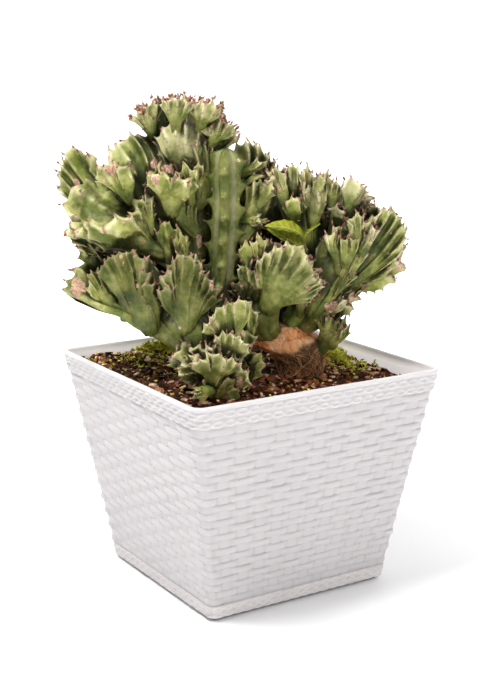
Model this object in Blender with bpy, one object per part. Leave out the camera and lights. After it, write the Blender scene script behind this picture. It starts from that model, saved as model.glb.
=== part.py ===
"""Potted crested cactus: a square pot with a woven look, bark soil, and a many-headed crested plant.

Lengths in the named values below are millimetres. Meshes are built in millimetres and scaled to
metres when their object is made. The pot stands on Z = 0 with its sides along X and Y, and its
origin is the middle of its base. The plant has its own frame, turned from the pot's: a point in it
is (across, away, up), where across runs left to right along the plant's broad side, away runs from
its front to its back, and up is the height above the base.
"""
import math

import bmesh
import bpy
import numpy as np

MM = 0.001

# Pot: outer half widths, height and wall
POT_HEIGHT = 206.0
POT_TOP_HALF = 130.0
POT_FOOT_HALF = 93.0
POT_TOP_CORNER = 10.4
POT_FOOT_CORNER = 6.0
POT_WALL = 3.0
POT_FLOOR = 4.0
RIM_WIDTH = 5.0
RIM_ROUND = 2.0
RIM_DEPTH = 8.0
SMALL_BEVEL = 0.7
TOP_BAND_HEIGHT = 20.0
FOOT_BAND_HEIGHT = 15.0
BAND_PROUD = 1.2
BAND_STEP = 1.0
CORNER_STEPS = 4

# Soil: its level, how far it rises to the back wall, its swells, and its rings out to the wall
SOIL_LEVEL = 191.0
SOIL_BACK_RISE = 4.0
SOIL_SWELL = 2.5
SOIL_RINGS = 5

# Clearance between pieces that touch, and how much more a sharp corner of a cutter moves out
GAP = 0.35
SHARPEST_CORNER = 1.8

# Turn of the plant's frame from the pot's sides
PLANT_TURN = math.radians(-32.3)

# Crests: points along each side, steps from foot to margin, the margin's thickness, the angle that
# a foot's ring leaves open at its edges, and the share of the thickness that a fan has at its edges
CREST_COLUMNS = 9
CREST_STEPS = 4
MARGIN_THICK = 4.0
EDGE_ANGLE = math.radians(11)
EDGE_SHARE = 0.55

# Colours and finishes: base colour, roughness
FINISHES = {
    "pot_white": ((0.83, 0.82, 0.83), 0.45),
    "bark_soil": ((0.060, 0.032, 0.022), 0.95),
    "moss_green": ((0.20, 0.22, 0.035), 0.95),
    "woody_tan": ((0.47, 0.24, 0.12), 0.85),
    "stem_green": ((0.17, 0.24, 0.07), 0.55),
    "crest_green": ((0.22, 0.30, 0.08), 0.55),
    "crest_pale": ((0.42, 0.47, 0.22), 0.55),
    "leaf_lime": ((0.42, 0.52, 0.04), 0.45),
}

# Stems: points of the centre line with the radius there, from the soil up
STEMS = {
    "column_stem": [(-24, -24, 174, 14), (-27, -25, 239, 16), (-23, -26, 303, 19),
                    (-22, -26, 345, 19), (-22, -25, 388, 18), (-23, -25, 402, 8)],
    "left_stem": [(-14, 8, 172, 12), (-18, 6, 219, 12), (-31, 6, 261, 11), (-38, 3, 308, 10),
                  (-45, 0, 345, 9), (-50, 2, 368, 8)],
    "right_stem": [(42, 0, 238, 13), (57, 0, 261, 15), (67, 0, 289, 14), (71, 2, 310, 11)],
}

# Woody base: centre across, centre away, height, half width, half depth, from the soil up
WOODY_BASE = [(52, 3, 170, 14, 12), (52, 2, 188, 19, 17), (52, -1, 202, 21, 19),
              (49, -2, 212, 25, 21), (39, -2, 221, 33, 21), (35, -2, 230, 30, 17),
              (36, -1, 238, 18, 12)]
WOODY_LUMP = 0.12

# Crests: foot line with radii from the carrier out, then the points of the margin
CRESTS = {
    "lower_left_crest": (
        [(-22, -46, 178, 14), (-34, -42, 208, 15), (-52, -40, 234, 16)],
        [(-145, -36, 266), (-158, -34, 277), (-153, -24, 290), (-136, -14, 299),
         (-112, -10, 308), (-94, -28, 296), (-79, -42, 279)], 14),
    "lower_inner_crest": (
        [(-36, -58, 221, 10), (-42, -60, 240, 11)],
        [(-71, -46, 283), (-67, -34, 303), (-52, -34, 304), (-38, -42, 290), (-29, -52, 266)], 12),
    "centre_right_crest": (
        [(24, -10, 232, 10), (16, -16, 244, 14), (14, -22, 258, 16)],
        [(-9, -34, 294), (4, -42, 302), (20, -36, 301), (33, -24, 313), (48, -27, 310),
         (59, -42, 296), (61, -52, 281)], 13),
    "far_right_crest": (
        [(60, -2, 270, 9), (78, -10, 276, 12)],
        [(74, -22, 342), (92, -14, 344), (115, -4, 344), (137, -2, 339), (139, -8, 318),
         (133, -20, 298), (115, -28, 288)], 13),
    "upper_right_back_crest": (
        [(68, 4, 303, 8), (58, 10, 312, 10)],
        [(21, 20, 371), (38, 27, 373), (57, 31, 376), (73, 30, 376), (85, 23, 362)], 12),
    "upper_right_front_crest": (
        [(66, -8, 300, 7), (57, -10, 315, 9)],
        [(31, -13, 352), (42, -18, 362), (55, -18, 366), (66, -14, 360), (71, -10, 350)], 11),
    "right_pale_crest": (
        [(72, 0, 306, 7), (82, 2, 318, 8)],
        [(84, 8, 356), (90, 11, 369), (101, 11, 369), (108, 9, 358), (112, 6, 349)], 10),
    "mid_right_crest": (
        [(66, -12, 272, 6), (76, -24, 276, 8)],
        [(81, -36, 305), (90, -39, 309), (95, -38, 299), (95, -34, 288)], 9),
    "lower_right_crest": (
        [(52, -2, 236, 8), (66, -8, 246, 9)],
        [(78, -22, 276), (94, -16, 283), (102, -12, 275), (99, -16, 264), (88, -22, 255)], 10),
    "side_rosette": (
        [(66, -8, 214, 6), (72, -10, 222, 7)],
        [(62, -18, 243), (73, -21, 247), (86, -20, 242), (88, -16, 230)], 8),
    "upper_middle_crest": (
        [(-27, 6, 300, 8), (-4, 6, 325, 10)],
        [(-14, 4, 390), (-6, 5, 399), (8, 7, 397), (20, 10, 389), (29, 11, 377)], 11),
    "stacked_crest": (
        [(-4, -24, 318, 6), (4, -18, 330, 8)],
        [(-1, -16, 369), (8, -19, 374), (18, -18, 369), (24, -14, 358)], 9),
    "top_crest": (
        [(-50, 2, 371, 7), (-52, 7, 382, 9)],
        [(-97, -12, 427), (-88, 4, 440), (-72, 13, 443), (-54, 14, 444), (-37, 11, 438),
         (-22, 1, 429), (-13, -12, 410)], 12),
    "pale_crest": (
        [(-50, -8, 362, 6), (-50, -9, 376, 8)],
        [(-80, -12, 409), (-67, -17, 420), (-51, -19, 422), (-38, -18, 416), (-31, -15, 405)], 11),
    "upper_left_crest": (
        [(-48, -4, 334, 8), (-72, -8, 346, 11)],
        [(-129, -18, 376), (-122, -12, 391), (-104, -3, 406), (-88, -1, 412), (-74, -6, 402),
         (-62, -12, 396)], 13),
    "inner_left_crest": (
        [(-42, -9, 322, 7), (-58, -16, 338, 9)],
        [(-91, -26, 373), (-80, -34, 378), (-66, -38, 376), (-52, -36, 374), (-43, -29, 368)], 10),
    "spiny_crest": (
        [(-46, -6, 346, 5), (-38, -10, 358, 7)],
        [(-58, -18, 391), (-47, -17, 399), (-36, -14, 400), (-29, -10, 399)], 8),
    "left_crest": (
        [(-38, -6, 304, 8), (-70, -10, 318, 10)],
        [(-116, 6, 350), (-134, 4, 364), (-150, -3, 361), (-158, -12, 349), (-156, -23, 336),
         (-138, -32, 332)], 11),
    "left_ridge_crest": (
        [(-40, -10, 296, 7), (-66, -18, 308, 10), (-86, -22, 315, 12)],
        [(-130, -27, 302), (-147, -31, 313), (-155, -37, 327), (-138, -43, 332), (-118, -47, 336),
         (-103, -45, 347), (-91, -38, 358), (-79, -31, 345)], 12),
    "far_left_crest": (
        [(-34, 5, 286, 6), (-82, 16, 312, 6), (-122, 14, 334, 7)],
        [(-165, 6, 356), (-165, 11, 377), (-156, 13, 394), (-145, 12, 392), (-136, 9, 374)], 9),
    "hollow_crest": (
        [(-38, -2, 276, 7), (-46, -10, 293, 8)],
        [(-72, -15, 331), (-66, -19, 344), (-53, -21, 348), (-42, -19, 344)], 9),
    "rear_lobe": (
        [(14, 0, 233, 6), (11, -3, 262, 6), (10, -9, 284, 7)],
        [(-3, -14, 302), (1, -17, 315), (10, -19, 319), (19, -18, 315), (24, -16, 303)], 8),
    "back_left_crest": (
        [(-34, 10, 262, 8), (-61, 17, 292, 10)],
        [(-128, 24, 314), (-125, 34, 345), (-110, 44, 372), (-85, 48, 392), (-57, 44, 394),
         (-38, 34, 380)], 12),
    "back_middle_crest": (
        [(20, 6, 232, 9), (15, 24, 258, 11)],
        [(-18, 30, 330), (-9, 44, 350), (12, 52, 361), (36, 52, 356), (55, 46, 342),
         (64, 36, 321)], 12),
    "back_low_left_crest": (
        [(-20, 16, 182, 9), (-24, 18, 214, 10), (-47, 22, 238, 11)],
        [(-122, 12, 288), (-112, 22, 308), (-89, 30, 314), (-62, 32, 312), (-40, 28, 296)], 12),
    "back_low_right_crest": (
        [(38, 12, 222, 9), (42, 26, 244, 11)],
        [(12, 28, 266), (21, 38, 290), (48, 44, 303), (75, 40, 298), (92, 32, 275)], 12),
    "lower_centre_crest": (
        [(-4, -36, 176, 7), (-6, -42, 205, 8), (-8, -47, 228, 8)],
        [(-36, -53, 248), (-25, -58, 258), (-10, -59, 264), (2, -56, 262), (6, -50, 250)], 9),
    "front_rosette_upper": (
        [(-8, -60, 178, 7), (-10, -60, 206, 8)],
        [(-28, -63, 232), (-19, -66, 241), (-5, -67, 242), (8, -62, 240)], 8),
    "front_rosette_left": (
        [(-24, -70, 178, 8), (-29, -72, 198, 9)],
        [(-65, -66, 217), (-53, -74, 228), (-34, -80, 232), (-14, -82, 231), (4, -76, 227)], 9),
    "front_rosette_lower": (
        [(-8, -80, 180, 7), (-14, -86, 193, 8)],
        [(-38, -92, 199), (-30, -96, 210), (-16, -98, 214), (0, -92, 210)], 8),
}
PALE_CRESTS = ("pale_crest", "right_pale_crest", "upper_middle_crest", "upper_right_back_crest")

# Moss mounds by the back walls, in the pot's frame: x, y, half sizes, height over the soil level
MOSS_MOUNDS = {
    "moss_right": (105, 16, 14, 32, 9),
    "moss_left": (-34, 108, 30, 12, 13),
}
MOSS_SUNK = 6.0

# Seedling: stalk line with radii, then each leaf's stalk end, tip, half width and droop
SEEDLING_STALK = [(60, -2, 293, 1.5), (57, -18, 301, 1.5), (54, -28, 312, 1.3), (52, -32, 325, 1.0)]
SEEDLING_LEAVES = {
    "seedling_leaf_large": ((52.0, -32.0, 323.0), (19.0, -38.0, 337.0), 8.0, 4.0),
    "seedling_leaf_low": ((54.5, -27.0, 310.0), (21.0, -42.0, 331.0), 5.0, 2.0),
    "seedling_leaf_small": ((52.2, -31.8, 322.0), (64.0, -39.0, 337.0), 3.5, 1.5),
}
LEAF_THICK = 0.9
LEAF_STALK_HALF_WIDTH = 0.7


def clear_scene():
    """Remove whatever the file holds."""
    for thing in list(bpy.data.objects):
        bpy.data.objects.remove(thing, do_unlink=True)


def finish(name):
    """One plain material for each finish."""
    if name in bpy.data.materials:
        return bpy.data.materials[name]
    colour, roughness = FINISHES[name]
    material = bpy.data.materials.new(name)
    material.use_nodes = True
    shader = material.node_tree.nodes["Principled BSDF"]
    shader.inputs["Base Color"].default_value = (*colour, 1.0)
    shader.inputs["Roughness"].default_value = roughness
    shader.inputs["Metallic"].default_value = 0.0
    return material


def make_object(name, vertices, faces, material, parent=None):
    """One named object from points in millimetres, its faces turned outward."""
    mesh = bpy.data.meshes.new(name)
    mesh.from_pydata([tuple(c * MM for c in v) for v in np.asarray(vertices, float)], [], faces)
    work = bmesh.new()
    work.from_mesh(mesh)
    bmesh.ops.recalc_face_normals(work, faces=work.faces)
    bmesh.ops.triangulate(work, faces=work.faces)
    work.to_mesh(mesh)
    work.free()
    mesh.materials.append(finish(material))
    mesh.shade_smooth()
    mesh.set_sharp_from_angle(angle=math.radians(50))
    thing = bpy.data.objects.new(name, mesh)
    bpy.context.collection.objects.link(thing)
    thing.parent = parent
    return thing


def smooth_line(points, count):
    """Catmull-Rom curve through the points, read at evenly spaced lengths."""
    knots = np.asarray(points, float)
    knots = np.vstack([2 * knots[0] - knots[1], knots, 2 * knots[-1] - knots[-2]])
    fine = []
    for k in range(1, len(knots) - 2):
        p0, p1, p2, p3 = knots[k - 1:k + 3]
        for t in np.linspace(0.0, 1.0, 16, endpoint=False):
            fine.append(0.5 * (2 * p1 + (p2 - p0) * t + (2 * p0 - 5 * p1 + 4 * p2 - p3) * t ** 2
                               + (3 * p1 - p0 - 3 * p2 + p3) * t ** 3))
    fine.append(knots[-2])
    fine = np.array(fine)
    length = np.concatenate([[0.0], np.cumsum(np.linalg.norm(np.diff(fine[:, :3], axis=0), axis=1))])
    wanted = np.linspace(0.0, length[-1], count)
    return np.stack([np.interp(wanted, length, column) for column in fine.T], axis=1)


def unit(vector):
    return vector / np.maximum(np.linalg.norm(vector, axis=-1, keepdims=True), 1e-9)


def stacked_faces(rings, around):
    """Quads between rings of points that go round the same way."""
    faces = []
    for k in range(rings - 1):
        for i in range(around):
            j = (i + 1) % around
            faces.append((k * around + i, k * around + j, (k + 1) * around + j, (k + 1) * around + i))
    return faces


def tube(line, sides, count):
    """Rings round a centre line whose fourth number is the radius, closed by flat ends."""
    samples = smooth_line(line, count)
    centres, radii = samples[:, :3], samples[:, 3]
    heading = unit(np.gradient(centres, axis=0))
    side = unit(np.cross(heading, np.array([0.0, 1.0, 0.0])))
    front = np.cross(side, heading)
    angle = np.linspace(0.0, 2.0 * math.pi, sides, endpoint=False)
    ring = (np.cos(angle)[None, :, None] * side[:, None, :]
            + np.sin(angle)[None, :, None] * front[:, None, :])
    vertices = (centres[:, None, :] + radii[:, None, None] * ring).reshape(-1, 3)
    faces = stacked_faces(count, sides)
    faces.append(tuple(range(sides)))
    faces.append(tuple(range((count - 1) * sides, count * sides)))
    return vertices, faces


def rounded_square(half, corner):
    """Points round a square with rounded corners, anticlockwise from above."""
    points = []
    for quarter in range(4):
        turn = quarter * math.pi / 2
        for step in range(CORNER_STEPS + 1):
            angle = math.pi / 2 * step / CORNER_STEPS
            x = half - corner + corner * math.cos(angle)
            y = half - corner + corner * math.sin(angle)
            points.append((x * math.cos(turn) - y * math.sin(turn),
                           x * math.sin(turn) + y * math.cos(turn)))
    return points


def pot_half(height):
    """Outer half width of the pot's flat wall at a height."""
    return POT_FOOT_HALF + (POT_TOP_HALF - BAND_PROUD - POT_FOOT_HALF) * height / POT_HEIGHT


def pot_corner(height):
    """Corner radius of the pot at a height."""
    return POT_FOOT_CORNER + (POT_TOP_CORNER - POT_FOOT_CORNER) * height / POT_HEIGHT


def make_pot():
    """A thin-walled square pot with a band at its foot and its top and a rolled rim."""
    foot_band = FOOT_BAND_HEIGHT
    top_band = POT_HEIGHT - TOP_BAND_HEIGHT
    lip = POT_HEIGHT - RIM_DEPTH
    outer = [(0.0, pot_half(0.0) - SMALL_BEVEL, 0.0),
             (SMALL_BEVEL, pot_half(0.0) + BAND_PROUD, 0.0),
             (foot_band, pot_half(foot_band) + BAND_PROUD, 0.0),
             (foot_band + BAND_STEP, pot_half(foot_band + BAND_STEP), 0.0),
             (top_band - BAND_STEP, pot_half(top_band - BAND_STEP), 0.0),
             (top_band, pot_half(top_band) + BAND_PROUD, 0.0),
             (POT_HEIGHT - RIM_ROUND, POT_TOP_HALF, 0.0),
             (POT_HEIGHT - SMALL_BEVEL, POT_TOP_HALF - SMALL_BEVEL, 0.0),
             (POT_HEIGHT, POT_TOP_HALF - RIM_ROUND, 0.0)]
    inner = [(POT_HEIGHT, POT_TOP_HALF - RIM_WIDTH + RIM_ROUND, RIM_WIDTH),
             (POT_HEIGHT - RIM_ROUND, POT_TOP_HALF - RIM_WIDTH, RIM_WIDTH),
             (lip, pot_half(lip) - POT_WALL, POT_WALL),
             (POT_FLOOR, pot_half(POT_FLOOR) - POT_WALL, POT_WALL)]
    rows = []
    for height, half, inset in outer + inner:
        corner = max(pot_corner(height) - inset, RIM_ROUND)
        rows.append([(x, y, height) for x, y in rounded_square(half, corner)])
    around = len(rows[0])
    faces = stacked_faces(len(rows), around)
    faces.append(tuple(range(around)))
    faces.append(tuple(range((len(rows) - 1) * around, len(rows) * around)))
    return make_object("pot", np.array(rows).reshape(-1, 3), faces, "pot_white")


def soil_height(x, y):
    """Height of the soil's top: it rises to the back, with long swells that fade at the wall."""
    swell = math.sin(x / 31.0 + 0.6) * math.cos(y / 27.0 - 0.4) + 0.5 * math.sin((x + y) / 17.0)
    edge = max(abs(x), abs(y)) / POT_TOP_HALF
    return SOIL_LEVEL + SOIL_BACK_RISE * y / POT_TOP_HALF + SOIL_SWELL * swell * (1.0 - edge ** 4)


def make_soil():
    """Potting mix that fills the pot up to its uneven top."""
    bottom = POT_FLOOR + GAP
    rows = [[(x, y, bottom) for x, y in
             rounded_square(pot_half(bottom) - POT_WALL - GAP, POT_FOOT_CORNER - POT_WALL)]]
    rim_half = pot_half(SOIL_LEVEL - SOIL_BACK_RISE) - POT_WALL - GAP
    for ring in range(SOIL_RINGS, 0, -1):
        share = ring / SOIL_RINGS
        outline = rounded_square(rim_half * share, (POT_TOP_CORNER - POT_WALL) * share)
        rows.append([(x, y, soil_height(x, y)) for x, y in outline])
    around = len(rows[0])
    vertices = [point for row in rows for point in row] + [(0.0, 0.0, soil_height(0.0, 0.0))]
    faces = stacked_faces(len(rows), around)
    faces.append(tuple(range(around)))
    last = (len(rows) - 1) * around
    for i in range(around):
        faces.append((last + i, last + (i + 1) % around, len(vertices) - 1))
    return make_object("soil", vertices, faces, "bark_soil")


def make_woody_base(parent):
    """Lumpy corky foot of the plant, narrow in the soil and spreading to the left at its top."""
    samples = smooth_line(WOODY_BASE, 11)
    sides = 16
    rows = []
    for level, (across, away, up, half_width, half_depth) in enumerate(samples):
        row = []
        for i in range(sides):
            angle = 2.0 * math.pi * i / sides
            swell = 0.6 * math.sin(3 * angle + 0.9 * level) + 0.4 * math.sin(5 * angle - level)
            lump = 1.0 + WOODY_LUMP * swell
            row.append((across + half_width * lump * math.cos(angle),
                        away + half_depth * lump * math.sin(angle), up))
        rows.append(row)
    faces = stacked_faces(len(rows), sides)
    faces.append(tuple(range(sides)))
    faces.append(tuple(range((len(rows) - 1) * sides, len(rows) * sides)))
    return make_object("woody_base", np.array(rows).reshape(-1, 3), faces, "woody_tan", parent)


def make_crest(name, foot, margin, thick, parent):
    """A fan that spreads from a round foot to a curved margin.

    Each ring of points runs along the fan's front from one edge to the other and back behind it.
    Up the foot line the ring is a circle; from there it opens to the margin's curve, and its
    thickness falls from the foot's to the margin's.
    """
    share = np.linspace(0.0, 1.0, CREST_COLUMNS)
    edge = smooth_line(margin, CREST_COLUMNS)
    spread = unit(edge[-1] - edge[0])
    angle = EDGE_ANGLE + (math.pi - 2.0 * EDGE_ANGLE) * (1.0 - share)
    foot = np.asarray(foot, float)
    heading = unit(np.gradient(foot[:, :3], axis=0))
    rings = []
    for centre, ahead in zip(foot, heading):
        side = unit(spread - ahead * float(spread @ ahead))
        front = np.cross(side, ahead)
        reach = centre[3] * np.cos(angle)[:, None] * side
        depth = centre[3] * np.sin(angle)[:, None] * front
        rings.append((centre[:3] + reach, depth))
    start, start_depth = rings[-1]
    half_start = np.linalg.norm(start_depth, axis=1)
    fuller = (EDGE_SHARE + (1.0 - EDGE_SHARE) * np.sin(math.pi * share))[:, None]
    for step in range(1, CREST_STEPS + 1):
        u = step / CREST_STEPS
        sheet = start + (edge - start) * u
        along = np.gradient(sheet, axis=0)
        normal = unit(np.cross(along, edge - start))
        foot_share = (1.0 - u) ** 1.5
        half = foot_share * half_start[:, None] + (1.0 - foot_share) * thick / 2.0 * fuller
        if step == CREST_STEPS:
            half = MARGIN_THICK / 2.0 * fuller
        rings.append((sheet, normal * half))
    rows = [np.vstack([sheet + depth, (sheet - depth)[::-1]]) for sheet, depth in rings]
    around = 2 * CREST_COLUMNS
    faces = stacked_faces(len(rows), around)
    faces.append(tuple(range(around)))
    last = (len(rows) - 1) * around
    for i in range(CREST_COLUMNS - 1):
        faces.append((last + i, last + i + 1, last + around - 2 - i, last + around - 1 - i))
    material = "crest_pale" if name in PALE_CRESTS else "crest_green"
    return make_object(name, np.vstack(rows), faces, material, parent)


def make_moss(name, centre_x, centre_y, half_width, half_depth, height):
    """A low cushion of moss, its underside below the soil's top until it is trimmed."""
    sides = 14
    rows = []
    for share, lift in ((1.0, -MOSS_SUNK), (1.0, 0.0), (0.86, 0.5 * height), (0.5, 0.9 * height)):
        rows.append([(centre_x + half_width * share * math.cos(2 * math.pi * i / sides),
                      centre_y + half_depth * share * math.sin(2 * math.pi * i / sides),
                      SOIL_LEVEL + lift) for i in range(sides)])
    faces = stacked_faces(len(rows), sides)
    faces.append(tuple(range(sides)))
    faces.append(tuple(range((len(rows) - 1) * sides, len(rows) * sides)))
    return make_object(name, np.array(rows).reshape(-1, 3), faces, "moss_green")


def make_leaf(name, stalk_end, tip, half_width, droop, parent):
    """A pointed leaf blade of even thickness that arches between its stalk end and its tip."""
    start, end = np.array(stalk_end), np.array(tip)
    ahead = unit(end - start)
    side = unit(np.cross(ahead, np.array([0.0, -0.5, 1.0])))
    lift = np.cross(side, ahead)
    steps = 8
    rows = []
    for k in range(steps + 1):
        t = k / steps
        width = half_width * math.sin(math.pi * t) ** 1.2 + LEAF_STALK_HALF_WIDTH * (1.0 - 0.7 * t)
        centre = start + (end - start) * t + lift * droop * math.sin(math.pi * t)
        fold = lift * 0.25 * width
        thick = lift * LEAF_THICK / 2
        row = [centre - side * width + fold + thick, centre + thick, centre + side * width + fold + thick,
               centre + side * width + fold - thick, centre - thick, centre - side * width + fold - thick]
        rows.append(row)
    faces = stacked_faces(len(rows), 6)
    last = steps * 6
    for a, b, c, d in ((0, 1, 4, 5), (1, 2, 3, 4)):
        faces.append((a, b, c, d))
        faces.append((last + a, last + b, last + c, last + d))
    return make_object(name, np.array(rows).reshape(-1, 3), faces, "leaf_lime", parent)


def clearance_copy(thing):
    """A hidden cutter: the piece's own shape, larger by the clearance on every side."""
    mesh = thing.data.copy()
    work = bmesh.new()
    work.from_mesh(mesh)
    bmesh.ops.triangulate(work, faces=work.faces)
    work.normal_update()
    moves = []
    for vertex in work.verts:
        reach = min(vertex.calc_shell_factor(), SHARPEST_CORNER)
        moves.append(vertex.normal * GAP * MM * reach)
    for vertex, move in zip(work.verts, moves):
        vertex.co += move
    work.to_mesh(mesh)
    work.free()
    cutter = bpy.data.objects.new(thing.name + "_clearance", mesh)
    bpy.context.collection.objects.link(cutter)
    cutter.parent = thing.parent
    cutter.hide_render = True
    cutter.display_type = "WIRE"
    return cutter


def keep_largest_body(mesh):
    """Drop the crumbs that a cut leaves beside the main body."""
    work = bmesh.new()
    work.from_mesh(mesh)
    bmesh.ops.remove_doubles(work, verts=work.verts, dist=0.02 * MM)
    bmesh.ops.dissolve_degenerate(work, edges=work.edges, dist=0.02 * MM)
    left = set(work.faces)
    bodies = []
    while left:
        body, front = set(), [left.pop()]
        while front:
            face = front.pop()
            body.add(face)
            for edge in face.edges:
                for other in edge.link_faces:
                    if other in left:
                        left.discard(other)
                        front.append(other)
        bodies.append(body)
    largest = max(bodies, key=lambda body: sum(face.calc_area() for face in body))
    crumbs = [face for body in bodies if body is not largest for face in body]
    bmesh.ops.delete(work, geom=crumbs, context="FACES")
    bmesh.ops.triangulate(work, faces=work.faces)
    work.to_mesh(mesh)
    work.free()


def boxes_meet(first, second):
    """True where the two pieces' boxes come within the clearance of each other."""
    bpy.context.view_layer.update()
    corners = []
    for thing in (first, second):
        matrix = np.array(thing.matrix_world)
        points = np.array([vertex.co for vertex in thing.data.vertices])
        points = points @ matrix[:3, :3].T + matrix[:3, 3]
        corners.append((points.min(axis=0), points.max(axis=0)))
    (low_a, high_a), (low_b, high_b) = corners
    return bool(np.all(low_a - GAP * MM < high_b) and np.all(low_b - GAP * MM < high_a))


def trim(thing, neighbours):
    """Cut a piece back so that it stands clear of the neighbours that it grows from or passes."""
    cutters = [clearance_copy(other) for other in neighbours if boxes_meet(thing, other)]
    if not cutters:
        return
    for cutter in cutters:
        cut = thing.modifiers.new(cutter.name, "BOOLEAN")
        cut.operation = "DIFFERENCE"
        cut.solver = "EXACT"
        cut.object = cutter
    bpy.context.view_layer.update()
    evaluated = thing.evaluated_get(bpy.context.evaluated_depsgraph_get())
    mesh = bpy.data.meshes.new_from_object(evaluated)
    thing.modifiers.clear()
    thing.data = mesh
    keep_largest_body(mesh)
    for cutter in cutters:
        bpy.data.objects.remove(cutter, do_unlink=True)


def main():
    clear_scene()
    plant_frame = bpy.data.objects.new("plant_frame", None)
    bpy.context.collection.objects.link(plant_frame)
    plant_frame.rotation_euler = (0.0, 0.0, PLANT_TURN)

    make_pot()
    grown = [make_woody_base(plant_frame)]
    for name, line in STEMS.items():
        stem = make_object(name, *tube(line, 10, 8), "stem_green", plant_frame)
        trim(stem, grown)
        grown.append(stem)
    for name, (foot, margin, thick) in CRESTS.items():
        crest = make_crest(name, foot, margin, thick, plant_frame)
        trim(crest, grown)
        grown.append(crest)

    stalk = make_object("seedling_stem", *tube(SEEDLING_STALK, 8, 7), "leaf_lime", plant_frame)
    trim(stalk, grown)
    grown.append(stalk)
    for name, (stalk_end, tip, half_width, droop) in SEEDLING_LEAVES.items():
        leaf = make_leaf(name, stalk_end, tip, half_width, droop, plant_frame)
        trim(leaf, grown)
        grown.append(leaf)

    soil = make_soil()
    trim(soil, grown)
    for name, (centre_x, centre_y, half_width, half_depth, height) in MOSS_MOUNDS.items():
        moss = make_moss(name, centre_x, centre_y, half_width, half_depth, height)
        trim(moss, [soil] + grown)


main()
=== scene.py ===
# %% [markdown]
# # A potted crested cactus
# A crested cactus doesn't grow one round tip. Its growing point has spread into
# a line, so each stem fans out into a thick wavy sheet. This lesson gives the
# plain solids of the CAD model their ribs, teeth, spines, woven pot and soil.
# Every surface is worked out with numpy as whole arrays and then put in a mesh.
# The plant could also be sculpted by hand, but a formula can be run again.

# %% Load the CAD model
import math
from types import SimpleNamespace
import bpy
import numpy as np
from mathutils import Matrix, Vector


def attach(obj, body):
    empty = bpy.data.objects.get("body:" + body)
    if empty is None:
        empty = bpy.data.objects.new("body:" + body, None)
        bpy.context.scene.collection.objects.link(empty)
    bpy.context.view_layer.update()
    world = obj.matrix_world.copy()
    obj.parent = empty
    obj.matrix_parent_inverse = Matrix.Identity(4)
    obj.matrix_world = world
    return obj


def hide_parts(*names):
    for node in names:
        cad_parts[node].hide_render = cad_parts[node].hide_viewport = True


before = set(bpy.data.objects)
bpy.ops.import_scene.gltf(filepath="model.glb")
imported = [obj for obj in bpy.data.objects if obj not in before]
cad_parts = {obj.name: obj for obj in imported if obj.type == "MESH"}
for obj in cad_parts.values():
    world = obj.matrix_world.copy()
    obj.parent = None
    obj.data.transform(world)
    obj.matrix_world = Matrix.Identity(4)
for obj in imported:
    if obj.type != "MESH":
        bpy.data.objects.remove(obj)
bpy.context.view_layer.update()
MM = 0.001
print("CAD nodes:", len(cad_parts))

# %% [markdown]
# ## Camera
# The pot was seen from a little above, with one corner turned to the lens. The
# camera stands in that direction, and three arrays say where its back, right
# and up are. The lens comes from the picture's long side and the focal length,
# both in pixels. All this could be set by eye, but numbers can be checked.

# %% Camera
AZIMUTH, ELEVATION = math.radians(-32.32), math.radians(12.64)
CAMERA_DISTANCE, CAMERA_RIGHT, CAMERA_UP = 1.2861, 0.00233, 0.2191
FOCAL_PIXELS, LONG_SIDE, SENSOR = 1331.7, 678, 36.0
flat_share = math.cos(ELEVATION)
back = np.array([math.sin(AZIMUTH) * flat_share, -math.cos(AZIMUTH) * flat_share, math.sin(ELEVATION)])
right = np.array([math.cos(AZIMUTH), math.sin(AZIMUTH), 0.0])
up = np.cross(back, right)


def placed(name, data):
    """A new object in the scene for a mesh, a light or a camera."""
    made = bpy.data.objects.new(name, data)
    bpy.context.scene.collection.objects.link(made)
    return made


camera_data = bpy.data.cameras.new("camera")
camera_data.sensor_width = SENSOR
camera_data.lens = FOCAL_PIXELS * SENSOR / LONG_SIDE
camera = placed("camera", camera_data)
camera.location = back * CAMERA_DISTANCE + right * CAMERA_RIGHT + up * CAMERA_UP
camera.rotation_mode = "QUATERNION"
camera.rotation_quaternion = Matrix(np.array([right, up, back]).T.tolist()).to_quaternion()
bpy.context.scene.camera = camera
print("lens", round(camera_data.lens, 1), "mm")


# %% [markdown]
# ## A small helper for finishes
# A finish is a chain of shader nodes. `Number` wraps one socket, so that a sum
# such as `1 - mask * 0.5` adds its own Math nodes. `Finish.node` makes any other
# node from its type, its settings and what goes into its sockets. Each node
# could have its own lines of code, but a sum is shorter and easier to read.

# %% Numbers in shaders
class Number:
    """A socket that carries one number, with the usual signs of arithmetic."""

    def __init__(self, finish, socket):
        self.finish, self.socket = finish, socket

    def math(self, operation, *others, clamp=False):
        """This number and the others, put through one Math node."""
        settings = {"operation": operation, "use_clamp": clamp}
        node = self.finish.node("ShaderNodeMath", settings, dict(enumerate((self, *others))))
        return Number(self.finish, node.outputs[0])

    def __add__(self, other):
        return self.math("ADD", other)

    def __sub__(self, other):
        return self.math("SUBTRACT", other)

    def __rsub__(self, other):
        return (self * -1.0).math("ADD", other)

    def __mul__(self, other):
        return self.math("MULTIPLY", other)

    def __truediv__(self, other):
        return self.math("DIVIDE", other)

    __radd__, __rmul__ = __add__, __mul__

    def held(self):
        """The number kept between 0 and 1."""
        return self.math("ADD", 0.0, clamp=True)

    def step(self, low, high):
        """0 below low, 1 above high, and a smooth rise between."""
        ends = {"Value": self, "From Min": low, "From Max": high}
        node = self.finish.node("ShaderNodeMapRange", {"interpolation_type": "SMOOTHSTEP"}, ends)
        return Number(self.finish, node.outputs[0])


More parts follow.
